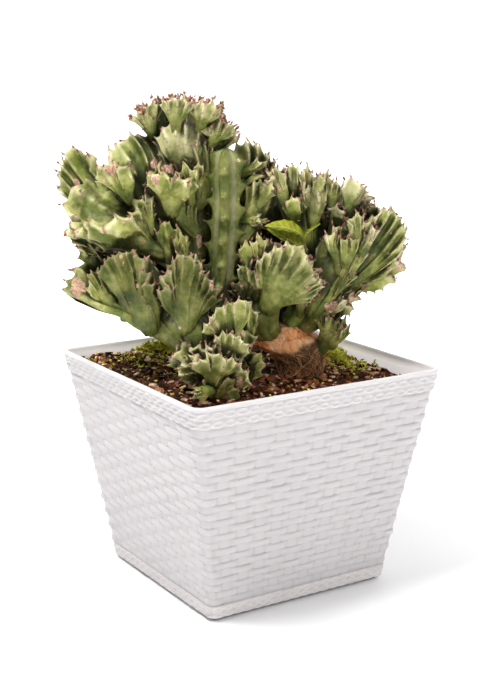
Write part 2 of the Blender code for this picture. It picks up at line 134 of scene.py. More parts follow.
# %% Finishes
class Finish:
    """A named material with its Principled shader ready to be fed."""

    def __init__(self, name, **shader):
        self.material = bpy.data.materials.new(name)
        self.material.use_nodes = True
        self.tree = self.material.node_tree
        self.shader = self.tree.nodes["Principled BSDF"]
        for socket, value in shader.items():
            self.feed(self.shader.inputs[socket.replace("_", " ")], value)

    def feed(self, socket, value):
        """A link from a socket or a Number, or else a plain value. A colour of three gets its alpha of 1."""
        if isinstance(value, Number):
            value = value.socket
        if isinstance(value, bpy.types.NodeSocket):
            self.tree.links.new(value, socket)
        else:
            socket.default_value = (*value, 1.0) if socket.type == "RGBA" and len(value) == 3 else value

    def node(self, kind, settings, inputs):
        """A node of that kind: its settings first, with a ramp's stops among them, then its inputs."""
        node = self.tree.nodes.new(kind)
        for name, value in settings.items():
            if name == "stops":
                ramp = node.color_ramp.elements
                while len(ramp) < len(value):
                    ramp.new(0.5)
                for element, (place, colour) in zip(ramp, value):
                    element.position, element.color = place, (*colour, 1.0)
            else:
                setattr(node, name, value)
        for name, value in inputs.items():
            self.feed(node.inputs[name], value)
        return node

    def place(self):
        """Where a point is on the object, in metres."""
        return self.node("ShaderNodeTexCoord", {}, {}).outputs["Object"]

    def noise(self, scale, detail=3.0, roughness=0.55, where=None, distortion=0.0):
        """Cloudy noise from 0 to 1, scale in patches for each metre."""
        inputs = {"Vector": where or self.place(), "Scale": scale, "Detail": detail,
                  "Roughness": roughness, "Distortion": distortion}
        return Number(self, self.node("ShaderNodeTexNoise", {}, inputs).outputs["Fac"])

    def cells(self, scale):
        """How far a point is from the nearest of the scattered seeds, in steps of their spacing."""
        node = self.node("ShaderNodeTexVoronoi", {}, {"Vector": self.place(), "Scale": scale})
        return Number(self, node.outputs["Distance"])

    def blend(self, first, second, share):
        """Colour first turned into second by share."""
        node = self.node("ShaderNodeMix", {"data_type": "RGBA"}, {0: share, 6: first, 7: second})
        return node.outputs[2]

    def ramp(self, value, *stops):
        """The colour that stands at value between the stops."""
        return self.node("ShaderNodeValToRGB", {"stops": stops}, {"Fac": value}).outputs["Color"]

    def painted(self, name):
        """The three numbers kept in a colour attribute of the mesh."""
        colour = self.node("ShaderNodeAttribute", {"attribute_name": name}, {}).outputs["Color"]
        parts = self.node("ShaderNodeSeparateColor", {}, {"Color": colour})
        return [Number(self, parts.outputs[i]) for i in range(3)]

    def bump(self, height, distance, strength):
        """Small relief: the height times distance, in metres."""
        inputs = {"Height": height, "Distance": distance, "Strength": strength}
        node = self.node("ShaderNodeBump", {}, inputs)
        self.tree.links.new(node.outputs["Normal"], self.shader.inputs["Normal"])

    def colour(self, value):
        """Feeds the shader's base colour."""
        self.feed(self.shader.inputs["Base Color"], value)

    def gloss(self, value):
        """Feeds the shader's roughness."""
        self.feed(self.shader.inputs["Roughness"], value)

    def glow(self, value):
        """Feeds the colour of the light that the surface gives off."""
        self.feed(self.shader.inputs["Emission Color"], value)


# %% [markdown]
# ## Floor and backdrop
# The floor is a sheet of white paper, as in a light tent. It lies flat under the
# pot and curves up behind it. It glows faintly near the pot and fully further
# out, so its edge can't be told from the white behind it. This glow is painted
# light, and it also hides the pot's shadow away from its foot. A white drum all
# round closes the view past the sheet's ends, as the walls of a room do. A
# brighter world could whiten the view as well, but it would light the plant
# too, while only the camera sees the drum.

# %% Floor
PAPER_WHITE = (0.9, 0.9, 0.905)
SWEEP = [(-6.0, 0.0), (1.6, 0.0), (2.2, 0.08), (2.6, 0.35), (2.8, 0.9), (2.85, 4.5)]
SWEEP_HALF, BELOW_POT = 6.0, 0.0004
GLOWS = [(0.06, 0.1), (0.13, 0.36), (0.3, 0.5), (0.6, 1.0)]


def sweep_sheet():
    """The profile of (away, up) drawn sideways, turned so that it faces the lens."""
    away = np.array([-back[0], -back[1], 0.0]) / flat_share
    points = []
    for side in (-1, 1):
        for d, h in SWEEP:
            points.append(tuple(away * d + right * side * SWEEP_HALF + np.array([0, 0, h - BELOW_POT])))
    n = len(SWEEP)
    return points, [(k, k + n, k + n + 1, k + 1) for k in range(n - 1)]


def scenery(name, points, faces, finish):
    """A mesh object from lists of points and faces, in one finish."""
    mesh = bpy.data.meshes.new(name)
    mesh.from_pydata(points, [], faces)
    mesh.materials.append(finish.material)
    return placed(name, mesh)


paper = Finish("white_paper", Roughness=0.9, Emission_Strength=1.0)
paper.colour(PAPER_WHITE)
far = paper.node("ShaderNodeVectorMath", {"operation": "LENGTH"}, {0: paper.place()}).outputs["Value"]
# Painted light: the glow grows with the distance from the middle.
paper.glow(paper.ramp(Number(paper, far) * 0.5, *((at, (grey,) * 3) for at, grey in GLOWS)))
floor = scenery("floor", *sweep_sheet(), paper)
print("paper:", len(floor.data.polygons), "faces")

# %% Backdrop
DRUM_RADIUS, DRUM_FROM, DRUM_TO, DRUM_SIDES = 9.0, -0.6, 9.0, 48


def full_turn(sides):
    """Evenly spaced angles round a circle."""
    return np.arange(sides) * 2 * np.pi / sides


angle, k = full_turn(DRUM_SIDES), np.arange(DRUM_SIDES)
circle = DRUM_RADIUS * np.stack([np.cos(angle), np.sin(angle)], 1)
rings = [np.column_stack([circle, np.full(DRUM_SIDES, height)]) for height in (DRUM_FROM, DRUM_TO)]
nxt = (k + 1) % DRUM_SIDES
drum_faces = np.stack([nxt, k, k + DRUM_SIDES, nxt + DRUM_SIDES], 1)
wall = Finish("white_wall", Roughness=1.0, Emission_Strength=1.0)
wall.colour(PAPER_WHITE)
wall.glow((0.95, 0.95, 0.95))
drum = scenery("backdrop", np.vstack(rings).tolist(), drum_faces.tolist(), wall)
for ray in ("diffuse", "glossy", "shadow", "transmission"):
    setattr(drum, "visible_" + ray, False)
print("drum:", len(drum.data.polygons), "faces")

# %% [markdown]
# ## Light
# The light is soft, from a white surround and two square panels. The stronger
# panel hangs above, at the left and a little to the front. The weaker one
# stands at the right in front, and opens up the shadows between the crests. A
# sun would be simpler, but its shadows have hard edges.

# %% Light
SURROUND = 0.23
PANELS = {
    "panel_above": dict(across=-0.4, front=0.36, rise=1.09, aim=0.25, size=0.3, watts=10.6),
    "panel_side": dict(across=0.66, front=0.92, rise=0.75, aim=0.3, size=0.5, watts=5.0),
}
world = bpy.data.worlds.new("surround")
bpy.context.scene.world = world
world.use_nodes = True
background = world.node_tree.nodes["Background"]
background.inputs["Color"].default_value = (1.0, 1.0, 1.0, 1.0)
background.inputs["Strength"].default_value = SURROUND
bpy.context.scene.view_settings.view_transform = "Standard"


def panel(name, across, front, rise, aim, size, watts):
    """A square soft light so far to the right, to the front and up, turned to a height over the origin."""
    data = bpy.data.lights.new(name, "AREA")
    data.shape, data.size, data.size_y, data.energy = "RECTANGLE", size, size, watts
    light = placed(name, data)
    light.location = right * across + back * front + np.array([0, 0, rise])
    light.rotation_mode = "QUATERNION"
    light.rotation_quaternion = (Vector((0, 0, aim)) - light.location).to_track_quat("-Z", "Y")


for name, plan in PANELS.items():
    panel(name, **plan)
print("floor, surround and", len(PANELS), "panels")

# %% [markdown]
# ## Tools for shapes
# `through` draws a smooth line through a few points. `rough` is a smooth random
# field in space, made from a lattice of random numbers. A shape is always four
# things: its points, its faces, and two sets of painted numbers, growth and
# marks. `build` puts them in a mesh, hangs it under the root body and hides
# the CAD parts that it stands for. Curves and modifiers could do part of this,
# but arrays can be painted as they are made.

# %% Lines and noise
PLANT_TURN = math.radians(-32.3)
LATTICE_SIZE, LATTICE_LAYERS = 32, 4
DICE = np.random.default_rng(41)
LATTICE = DICE.random((LATTICE_LAYERS, *[LATTICE_SIZE] * 3))


def unit(v):
    """Each vector divided by its length."""
    return v / np.maximum(np.linalg.norm(v, axis=-1, keepdims=True), 1e-9)


def ease(t):
    """0 to 1 with a flat start and end: 3 t squared less 2 t cubed."""
    t = np.clip(t, 0.0, 1.0)
    return t * t * (3.0 - 2.0 * t)


def through(points, count):
    """A Catmull-Rom line through the points, with its length.

    It is read at even steps of its length where count is a number, and at those
    shares of it where count is an array. Each stretch is a cubic of the four
    nearest points, and columns past the third are carried along.
    """
    p = np.asarray(points, float)
    ends = np.vstack([2 * p[0] - p[1], p, 2 * p[-1] - p[-2]])
    t = np.linspace(0, len(p) - 1, 40 * (len(p) - 1) + 1)
    i = np.minimum(t.astype(int), len(p) - 2)
    f = (t - i)[:, None]
    a, b, c, d = ends[i], ends[i + 1], ends[i + 2], ends[i + 3]
    line = 0.5 * (2 * b + (c - a) * f + (2 * a - 5 * b + 4 * c - d) * f**2 + (3 * b - a - 3 * c + d) * f**3)
    run = np.concatenate([[0], np.cumsum(np.linalg.norm(np.diff(line[:, :3], axis=0), axis=1))])
    at = np.linspace(0, run[-1], count) if np.isscalar(count) else np.asarray(count) * run[-1]
    return np.stack([np.interp(at, run, line[:, k]) for k in range(line.shape[1])], 1), run[-1]


def bends(points):
    """The length of the straight lines from point to point."""
    return np.linalg.norm(np.diff(np.asarray(points), axis=0), axis=1).sum()


def rough(where, size, layer=0):
    """Smooth noise from -1 to 1: random numbers on a lattice of that size, blended by eased weights."""
    q = np.asarray(where) / size
    i = np.floor(q).astype(int)
    f = q - i
    f = f * f * (3 - 2 * f)
    total = 0.0
    for corner in np.ndindex(2, 2, 2):
        wx, wy, wz = (f[..., k] if corner[k] else 1 - f[..., k] for k in range(3))
        x, y, z = ((i[..., k] + corner[k]) % LATTICE_SIZE for k in range(3))
        total = total + wx * wy * wz * LATTICE[layer % LATTICE_LAYERS, x, y, z]
    return total * 2 - 1


def from_plant(points):
    """Plant measurements (across, away, up) in mm, turned into the pot's frame in metres."""
    x, y, z = np.moveaxis(np.asarray(points, float) * MM, -1, 0)
    c, s = math.cos(PLANT_TURN), math.sin(PLANT_TURN)
    return np.stack([x * c - y * s, x * s + y * c, z], -1)


def from_pot(points):
    """Measurements in mm along the pot's own sides, in metres."""
    return np.asarray(points, float) * MM


print("lattice:", LATTICE.shape)


# %% Faces
def ring_faces(rows, columns, wrap_columns=True, wrap_rows=False):
    """Four-cornered faces of a grid of rows and columns, closed round on itself where asked."""
    r = np.arange(rows if wrap_rows else rows - 1)[:, None]
    c = np.arange(columns if wrap_columns else columns - 1)[None, :]
    r, r2, c2 = r * columns, (r + 1) % rows * columns, (c + 1) % columns
    return np.stack([r + c, r + c2, r2 + c2, r2 + c], -1).reshape(-1, 4)


def to_pole(first, second, pole):
    """Triangles from pairs of neighbours to one point, which is repeated as the fourth corner."""
    tip = np.full(len(first), pole)
    return np.stack([first, second, tip, tip], 1)


def closed_rings(ring, low, high):
    """Rings of points, one row for each, closed by a pole at both ends."""
    rows, columns = ring.shape[:2]
    count, k = rows * columns, np.arange(columns)
    nxt, last = (k + 1) % columns, rows * columns - columns
    points = np.vstack([ring.reshape(-1, 3), low, high])
    ends = [to_pole(nxt, k, count), to_pole(last + k, last + nxt, count + 1)]
    return points, np.vstack([ring_faces(rows, columns), *ends])


def spokes(angle, side, ahead):
    """Directions round a path: the cosine of the angle times side, plus its sine times ahead."""
    return np.cos(angle)[None, :, None] * side[:, None] + np.sin(angle)[None, :, None] * ahead[:, None]


def copies(pattern, count, size):
    """One shape's faces repeated for so many shapes of so many points."""
    return (np.arange(count)[:, None, None] * size + pattern[None]).reshape(-1, 4)


def outwards(points, faces):
    """The faces, turned round if they point inwards: the signed volume of their triangles is then below 0."""
    a, b, c, d = (points[faces[:, k]] for k in range(4))
    volume = np.einsum("ij,ij->i", a, np.cross(b, c)) + np.einsum("ij,ij->i", a, np.cross(c, d))
    if volume.sum() >= 0:
        return faces
    return np.where((faces[:, 2] == faces[:, 3])[:, None], faces[:, [1, 0, 2, 2]], faces[:, ::-1])


def merge(parts):
    """Several shapes as one. A shape's growth and its marks may be one row for all its points."""
    points, faces, growth, marks, start = [], [], [], [], 0
    for p, f, g, m in parts:
        points.append(p)
        faces.append(f + start)
        growth.append(np.broadcast_to(np.asarray(g, float), (len(p), 3)))
        marks.append(np.broadcast_to(np.asarray(m, float), (len(p), 3)))
        start += len(p)
    return np.vstack(points), np.vstack(faces), np.vstack(growth), np.vstack(marks)


# %% Meshes
PLAIN = (0.0, 0.0, 0.0)
triangles_made = {}


def build(name, shape, place, finish, stands_for=(), smooth=True, extra=()):
    """A mesh object from a shape, whose points place turns into metres. extra holds faces of many corners."""
    points, faces, growth, marks = shape
    three = faces[:, 2] == faces[:, 3]
    sizes = np.where(three, 3, 4)
    keep = np.ones(faces.shape, bool)
    keep[three, 3] = False
    loops = faces[keep]
    for polygon in extra:
        loops = np.concatenate([loops, np.asarray(polygon)])
        sizes = np.append(sizes, len(polygon))
    starts = np.concatenate([[0], np.cumsum(sizes)[:-1]])
    mesh = bpy.data.meshes.new(name)
    mesh.vertices.add(len(points))
    mesh.vertices.foreach_set("co", place(points).astype(np.float32).ravel())
    mesh.loops.add(len(loops))
    mesh.loops.foreach_set("vertex_index", loops.astype(np.int32))
    mesh.polygons.add(len(sizes))
    mesh.polygons.foreach_set("loop_start", starts.astype(np.int32))
    mesh.polygons.foreach_set("use_smooth", np.full(len(sizes), smooth))
    mesh.update(calc_edges=True)
    mesh.validate()
    for title, values in (("growth", growth), ("marks", marks)):
        layer = mesh.attributes.new(title, "FLOAT_COLOR", "POINT")
        four = np.ones((len(points), 4), np.float32)
        four[:, :3] = values
        layer.data.foreach_set("color", four.ravel())
    mesh.materials.append(finish.material)
    piece = placed(name, mesh)
    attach(piece, "root")
    if stands_for:
        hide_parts(*stands_for)
    triangles_made[name] = int((sizes - 2).sum())


print("shape tools ready")

# %% [markdown]
# ## The skin of the plant
# The skin is waxy and green, darker and greyer low down, partly as the older
# skin is darker and partly as painted shade. The valleys between the ribs and
# the places deep between the crests get painted shade too. It turns cream along
# the ribs and towards the growing edge, and the edge itself is corky and pink
# brown, like the spines. Old bruises leave tan scabs. Growth carries how far a
# point is up a rib, how near the edge it is and how pale its crest is. Marks
# carry what is a spine, where a scab is and how much painted shade a place
# gets. Each crest could be painted by hand, but these numbers follow every
# rib, and so one finish serves all the crests and still differs from one to
# the next.

# %% Skin finish
SHADE, BLOOM = (0.012, 0.017, 0.005), (0.42, 0.44, 0.33)
skin = Finish("crest_skin", Roughness=0.45, Specular_IOR_Level=0.35)
rib, edge, pale = skin.painted("growth")
spine, scab, dim = skin.painted("marks")
clouds = skin.noise(55.0, 4.0, 0.6)
fine = skin.noise(420.0, 3.0, 0.6)
streaks = skin.noise(170.0, 3.0, 0.65, distortion=0.6)
greens = (0.33, (0.07, 0.115, 0.016)), (0.47, (0.245, 0.285, 0.05)), (0.62, (0.54, 0.55, 0.14))
green = skin.ramp(clouds * 0.75 + streaks * 0.25, *greens)
light_green = skin.ramp(clouds, (0.3, (0.54, 0.55, 0.23)), (0.7, (0.78, 0.72, 0.42)))
cream = skin.ramp(streaks, (0.3, (0.7, 0.63, 0.4)), (0.7, (0.87, 0.79, 0.6)))
lightness = (rib * 0.42 + pale * 0.6 + edge * 0.3 + (clouds - 0.5) * 0.7 - 0.15).held()
creaminess = (lightness + edge * 0.25 - 0.1 + (streaks - 0.5) * 0.4).step(0.62, 1.15)
body = skin.blend(green, light_green, lightness.step(0.1, 0.75))
body = skin.blend(body, cream, creaminess)
# Painted shade: the low parts, the valleys and the places deep between the crests turn towards SHADE.
body = skin.blend(body, SHADE, dim * 0.9)
bloom = (fine.step(0.5, 0.75) * clouds.step(0.4, 0.62)) * 0.3
body = skin.blend(body, BLOOM, bloom * (1 - dim))

# %% Corky edges, scabs and spines
browns = (0.3, (0.075, 0.026, 0.016)), (0.48, (0.26, 0.11, 0.066)), (0.66, (0.62, 0.38, 0.27))
brown = skin.ramp(streaks, *browns)
corky = ((edge - 0.74) * 5.0 + (streaks - 0.5) * 3.0).held()
body = skin.blend(body, brown, corky * 0.85)
tan = skin.ramp(fine * 0.5 + streaks * 0.5, (0.38, (0.36, 0.17, 0.1)), (0.6, (0.8, 0.56, 0.4)))
flecks = (1 - skin.cells(85.0).step(0.1, 0.2)) * clouds.step(0.48, 0.58)
scabs = (scab + flecks + (streaks - 0.5) * 0.5).step(0.45, 0.6)
body = skin.blend(body, tan, scabs)
skin.colour(skin.blend(body, brown, spine))
skin.gloss((0.4 + clouds * 0.12 + scabs * 0.3 + spine * 0.2 + corky * 0.2).held())
skin.bump(fine * 0.35 + streaks * 0.65 + scabs * 0.8, 0.0009, 0.6)
print("skin finish:", len(skin.tree.nodes), "nodes")

# %% [markdown]
# ## How a crest is made
# Each crest has a round foot and a long growing edge. A sheet is stretched from
# one to the other, and it has a front and a back that meet at the edge. Ribs run
# up both faces, with those of the back between those of the front, so the edge
# zigzags. The ribs are sharp on top and round in the valleys, and carry teeth
# with spines. Slower waves along the edge make the ruffles of the whole fan.
# A ribbon thickened by Solidify would be quicker to make, but its back would
# repeat its front, and here each face has its own ribs.

# %% Ribs and the middle sheet
STEPS_PER_RIB = 8
RIB_SPREAD = 1.2
ROW_STEP = 2.1
TRUNK_STEP = 4.0


def rib_plan(margin, pitch, dice):
    """The ribs' number, each column's place in ribs and in shares of the edge, and the edge's length.

    A rib is pitch times RIB_SPREAD wide, give or take a half.
    """
    _, length = through(margin, 200)
    ribs = max(3, int(round(length / (pitch * RIB_SPREAD))))
    phase = np.linspace(0, ribs, ribs * STEPS_PER_RIB + 1)
    widths = np.cumsum(np.concatenate([[0], 1 + (dice.random(ribs) - 0.5)]))
    return ribs, phase, np.interp(phase, np.arange(ribs + 1), widths / widths[-1]), length


def trunk_rings(foot, spread, theta, swell):
    """The trunk's line, its headings, its front directions, and the rings' points as across and off.

    A ring's point is the radius times swell, by the cosine of theta along the
    fan's spread and by its sine off it.
    """
    trunk, _ = through(foot, max(4, int(bends(foot[:, :3]) / TRUNK_STEP)))
    heading = unit(np.gradient(trunk[:, :3], axis=0))
    side = unit(spread - (heading @ spread)[:, None] * heading)
    ahead = np.cross(side, heading)
    across = trunk[:, None, :3] + (trunk[:, 3:4] * (np.cos(theta) * swell)[None])[..., None] * side[:, None]
    off = (trunk[:, 3:4] * (np.sin(theta) * swell)[None])[..., None] * ahead[:, None]
    return trunk, heading, ahead, across, off


def stretched(start, rim, heading, ahead, v, flare):
    """The middle sheet with its normals and its steps along a row.

    From a start to a rim point, v takes the part of the way that lies along the
    heading, and v to the power flare the rest. The normals turn out of the
    trunk's front direction in the first half.
    """
    way = rim - start
    along = (way @ heading)[:, None] * heading
    sheet = start[None] + along[None] * v + (way - along)[None] * v**flare
    du, dv = np.gradient(sheet, axis=1), np.gradient(sheet, axis=0)
    normal = unit(np.cross(du, dv))
    if (normal[-1] @ ahead).mean() < 0:
        normal = -normal
    settle = ease(v * 2.2)
    return sheet, unit(normal * settle + ahead * (1 - settle)), du


def folded(sheet, normal, v, phase, share, plan, shift, seed):
    """The sheet with its folds, its zigzag and a slow drift.

    Folds are two sines of the share of the edge, times ruffle and v squared. The
    zigzag is a cosine that turns once a rib, times pleat and v cubed.
    """
    waves = 2 * np.pi * plan.waves
    sines = np.sin(waves * share + shift[0]) + 0.45 * np.sin(waves * 2.3 * share + shift[1])
    fold = 1.6 * plan.ruffle * sines * ease(share * 6) * ease((1 - share) * 6)
    zigzag = plan.pleat * np.cos(2 * np.pi * phase)
    drift = np.stack([rough(sheet + 60 * k, 26.0, seed + k) for k in range(3)], -1)
    lift = (fold * v**2 + zigzag * v**3)[..., None]
    return sheet + normal * lift + drift * plan.sway * ease(v * 1.3)[..., None]


# %% [markdown]
# ## Spines, faces and paint of a crest
# A spine is a cone of a few faces, because there are thousands. They stand at
# the tips of the ribs on the edge, and in pairs on the teeth. Hair could stand
# for them, but it has no faces to export. The paint is worked out on the same
# grid as the points, so it follows every rib.

# %% Spines
SPINE_SIDES, SPINE_MARKS = 5, (1.0, 0.0, 0.0)


def cones(feet, ways, lengths, radii):
    """Small closed spikes: a ring of five points round each foot, and a tip at foot + length times way."""
    ways = unit(ways)
    helper = np.where(np.abs(ways[:, 2:3]) < 0.8, np.array([[0, 0, 1.0]]), np.array([[1.0, 0, 0]]))
    one = unit(np.cross(ways, helper))
    two = np.cross(ways, one)
    ring = feet[:, None] + radii[:, None, None] * spokes(full_turn(SPINE_SIDES), one, two)
    tips, under = feet + ways * lengths[:, None], feet - ways * radii[:, None]
    points = np.concatenate([ring, tips[:, None], under[:, None]], 1)
    k = np.arange(SPINE_SIDES)
    nxt = (k + 1) % SPINE_SIDES
    pattern = np.vstack([to_pole(k, nxt, SPINE_SIDES), to_pole(nxt, k, SPINE_SIDES + 1)])
    return points.reshape(-1, 3), copies(pattern, len(feet), SPINE_SIDES + 2)


def edge_spines(top, outward, phase, spines, dice):
    """Feet, ways, lengths and radii of the edge's spines. A rib's tip gets about as many as spines says."""
    tips = np.nonzero(np.minimum(phase % 0.5, 0.5 - phase % 0.5) < 1e-6)[0][1:-1]
    rounds = 1 + int(spines)
    rows = []
    for _ in range(rounds):
        at = tips[dice.random(len(tips)) < spines / rounds * 0.95]
        jitter = dice.normal(0, 1.0, (len(at), 3))
        feet, ways = top[at] + jitter * 0.9 - outward[at] * 0.7, outward[at] + jitter * 0.45
        rows.append((feet, ways, 2.0 + 2.6 * dice.random(len(at)), 0.75 + 0.5 * dice.random(len(at))))
    return rows


def tooth_spines(surface, out, outward, along, places, dice):
    """The same for a face: two spines at each place, leaning apart along the row."""
    r, c = places
    rows = []
    for lean in (-1, 1):
        feet = surface[r, c] - out[r, c] * 0.4 + along[r, c] * lean * 0.6
        ways = out[r, c] + outward[c] * 0.5 + along[r, c] * lean * 0.5
        rows.append((feet, ways, 1.4 + 1.2 * dice.random(len(r)), 0.4 + 0.25 * dice.random(len(r))))
    return rows


# %% Faces and paint
def both_faces(front, behind):
    """Rows that run along the front and back along the other face, without its two ends."""
    return np.concatenate([front, behind[:, -2:0:-1]], 1)


def crest_faces(rows, size, columns):
    """Faces of the rings, the strips from the last ring up to the edge line, and the closed foot."""
    last, top = (rows - 1) * size, rows * size
    j, k = np.arange(columns - 1), np.arange(size)
    behind = np.concatenate([[last], last + size - np.arange(1, columns - 1), [last + columns - 1]])
    front_strip = np.stack([last + j, last + j + 1, top + j + 1, top + j], 1)
    back_strip = np.stack([behind[j + 1], behind[j], top + j, top + j + 1], 1)
    foot = to_pole((k + 1) % size, k, top + columns)
    return np.vstack([ring_faces(rows, size), front_strip, back_strip, foot])


def crest_paint(plan, trunk_rows, v, reach, front_rib, back_rib):
    """Growth and marks of all points.

    Rib paint grows with v, and the edge's fades as an exponential of its
    distance over cork. A valley gets painted shade by the square of its depth,
    and the lower part by shade, partly as older skin. No point gets less than
    the plan's least painted shade.
    """
    near = np.concatenate([np.zeros(trunk_rows), v])[:, None]
    ramp = np.concatenate([np.full(trunk_rows, 0.05), ease(v * 1.15 - 0.1)])[:, None]
    tips = 0.45 + 0.55 * np.maximum(front_rib, back_rib)[None] ** 2
    at_edge = np.exp(-(1 - near) * reach / plan.cork) * tips
    rib = both_faces(*(plan.painted * ramp * (profile**1.6)[None] for profile in (front_rib, back_rib)))
    columns, (rows, size) = len(front_rib), rib.shape
    growth = np.zeros((rows * size + columns + 1, 3))
    growth[: rows * size, 0] = rib.ravel()
    growth[: rows * size, 1] = both_faces(at_edge, at_edge).ravel()
    growth[rows * size : -1, 0] = 0.8
    growth[rows * size : -1, 1] = tips[0]
    paler = np.repeat(ease(0.35 + near[:, 0] * 0.9), size)
    growth[:, 2] = plan.pale * np.concatenate([paler, np.ones(columns + 1)])
    hollow = both_faces((1 - front_rib)[None] ** 2, (1 - back_rib)[None] ** 2) * near * (1.25 - near)
    marks = np.zeros_like(growth)
    marks[: rows * size, 2] = ((1 - ease(0.25 + near * 1.5)) * plan.shade + hollow * 0.5).ravel()
    marks[:, 2] = np.maximum(marks[:, 2], plan.dim)
    return growth, marks


# %% [markdown]
# ## The whole crest
# The crests could be modelled one by one, but a plan of a few words is easier to
# change. These are its words when a crest doesn't say. In mm: pitch and
# depth set a rib's width and height, tooth a tooth's length, ruffle, pleat and
# lobes the size of the folds, of the zigzag and of the edge's lobes, sway that
# of the drift, and cork how far down the corky edge reaches. Waves counts the
# folds, and spines those on a rib's tip. Flare is the power that spreads the
# fan. Pale and painted are shares that the skin's paint uses. Two more are
# shares of painted shade: the least that the whole crest gets, and shade, which
# the lower part gets, partly as older skin.

# %% Crest surface
CREST_PLAN = dict(
    pitch=11.0, depth=4.8, tooth=5.0, ruffle=0.0, waves=3.0, pleat=2.4, lobes=4.5, sway=6.5,
    flare=1.2, spines=1.0, cork=4.5, pale=0.35, dim=0.0, shade=0.75, painted=1.0)
TOOTH_GAP = 11.0


def crest(foot, margin, thick, seed=0, **given):
    """Front and back of a fan, in plant mm, from its foot's rings (x, y, z, radius) to its margin line.

    Each face lies half a thickness off the middle sheet, plus depth times a rib
    profile, which is 1 less the absolute sine of the rib count. The back takes
    the cosine, so its ribs stand between those of the front.
    """
    plan = SimpleNamespace(**{**CREST_PLAN, **given})
    dice = np.random.default_rng(seed + 7)
    foot = np.asarray(foot, float)
    ribs, phase, share, length = rib_plan(margin, plan.pitch, dice)
    rim, _ = through(margin, share)
    reach = np.linalg.norm(rim - foot[-1, :3], axis=1).mean()
    v = np.linspace(0, 1, max(10, int(reach / ROW_STEP)) + 1)[:, None]
    theta = np.pi * (1 - share)
    profiles = 1 - np.abs(np.sin(np.pi * phase)), 1 - np.abs(np.cos(np.pi * phase))
    heights = 0.55 + 0.75 * dice.random((2, ribs + 2))
    begins = np.where(dice.random((2, ribs + 2)) < 0.7, 0.35 + 0.35 * dice.random((2, ribs + 2)), -0.3)

    swell = 1 + 0.1 * np.abs(np.cos((5 + seed % 2) * theta))
    trunk, heading, ahead, across, off = trunk_rings(foot, unit(rim[-1] - rim[0]), theta, swell)
    uneven = plan.lobes * rough(rim, 13.0, seed) + 0.5 * plan.lobes * rough(rim, 6.0, seed + 1)
    rim = rim + unit(rim - foot[-1, :3]) * uneven[:, None]
    sheet, normal, du = stretched(across[-1], rim, heading[-1], ahead[-1], v[..., None], plan.flare)
    sheet = folded(sheet, normal, v, phase, share, plan, dice.random(3) * 6.28, seed)

    rib_width = np.linalg.norm(np.gradient(sheet, axis=1), axis=2) * STEPS_PER_RIB
    rib_width = np.minimum(rib_width, plan.pitch * 1.3)
    climb = np.minimum(plan.depth * ease(0.25 + v * 1.1), 0.42 * rib_width)
    gap = np.minimum(share, 1 - share) * length * np.maximum(v, 0.15)
    rounding = np.sqrt(1 - (1 - np.clip(gap / (thick * 0.8), 0, 1)) ** 2)
    tapered = thick / 2 * (1 - 0.64 * ease((v - 0.55) / 0.45))
    mixing = ease(v / 0.45)
    half = foot[-1, 3] * np.sin(theta)[None] * (1 - mixing) + tapered * rounding * mixing

    number = np.round(phase * 2).astype(int)
    tooth_step = min(TOOTH_GAP, reach * 0.35)
    run = (v * reach + (dice.random(ribs * 2 + 3) * 9)[number][None]) / tooth_step
    bite = np.exp(-(((run % 1.0) - 0.5) / 0.15) ** 2)

    def ridges(which):
        """A face's ribs, with a tooth at each bite. Some ribs only begin part of the way up."""
        own, profile = np.floor(phase + 0.5 * (1 - which)).astype(int), profiles[which]
        grown = heights[which, own][None] * ease((v - begins[which, own][None]) / 0.3)
        teeth = plan.tooth * 0.75 * bite * profile[None] ** 3 * ease((v - 0.12) * 4) * (rib_width > 5)
        return climb * profile * grown + teeth * grown

    lifts = ridges(0), ridges(1)
    outward = unit(sheet[-1] - sheet[-3])
    tooth_luck = (0.45 + 0.9 * dice.random(2 * ribs + 1))[number]
    reach_out = plan.tooth * (profiles[0] ** 2.4 + 0.85 * profiles[1] ** 2.4) * tooth_luck
    poke = (ease((v - 0.82) / 0.18) * reach_out[None])[..., None] * outward[None]
    ends = ease(gap / 4)[..., None]
    wobble = rough(sheet, 16.0, seed)[..., None] * plan.sway / 4 * ease(v * 2)[..., None]
    front = sheet + poke + normal * ((half[..., None] + lifts[0][..., None] * ends) + wobble * ends)
    behind = sheet + poke - normal * ((half[..., None] + lifts[1][..., None] * ends) - wobble * ends)
    to_front = 0.5 * (lifts[0] - lifts[1])[-1] * ends[-1, :, 0]
    top = (sheet[-1] + poke[-1] + outward * 1.2) + normal[-1] * to_front[:, None]

    ring = both_faces(np.vstack([(across + off)[:-1], front]), np.vstack([(across - off)[:-1], behind]))
    points = np.vstack([ring.reshape(-1, 3), top, trunk[0, :3] - heading[0] * 2])
    faces = outwards(points, crest_faces(*ring.shape[:2], len(phase)))
    growth, marks = crest_paint(plan, len(trunk) - 1, v[:, 0], reach, *profiles)

    spikes = edge_spines(top, outward, phase, plan.spines, dice)
    for surface, profile, sign in ((front, profiles[0], 1), (behind, profiles[1], -1)):
        ridge = np.nonzero(profile > 0.999)[0]
        ridge = ridge[(ridge > 2) & (ridge < len(phase) - 3)]
        at_tooth = np.abs((run[:, ridge] % 1.0) - 0.5) < ROW_STEP / 2 / tooth_step
        r, c = np.nonzero(at_tooth & (v > 0.28) & (v < 0.94))
        spikes += tooth_spines(surface, normal * sign, outward, unit(du), (r, ridge[c]), dice)
    spikes = cones(*map(np.concatenate, zip(*spikes)))
    return merge([(points, faces, growth, marks), (*spikes, (0.5, 1.0, plan.pale), SPINE_MARKS)])


# %% [markdown]
# ## The crests
# Each crest is given in the plant's own frame in mm: its foot as rings of (x, y,
# z, radius) and its growing edge as points, then its thickness, pitch, how pale
# it is, and what else its plan says. A whole mesh could be kept for each, but
# these few numbers are enough, as all the rest follows from them.

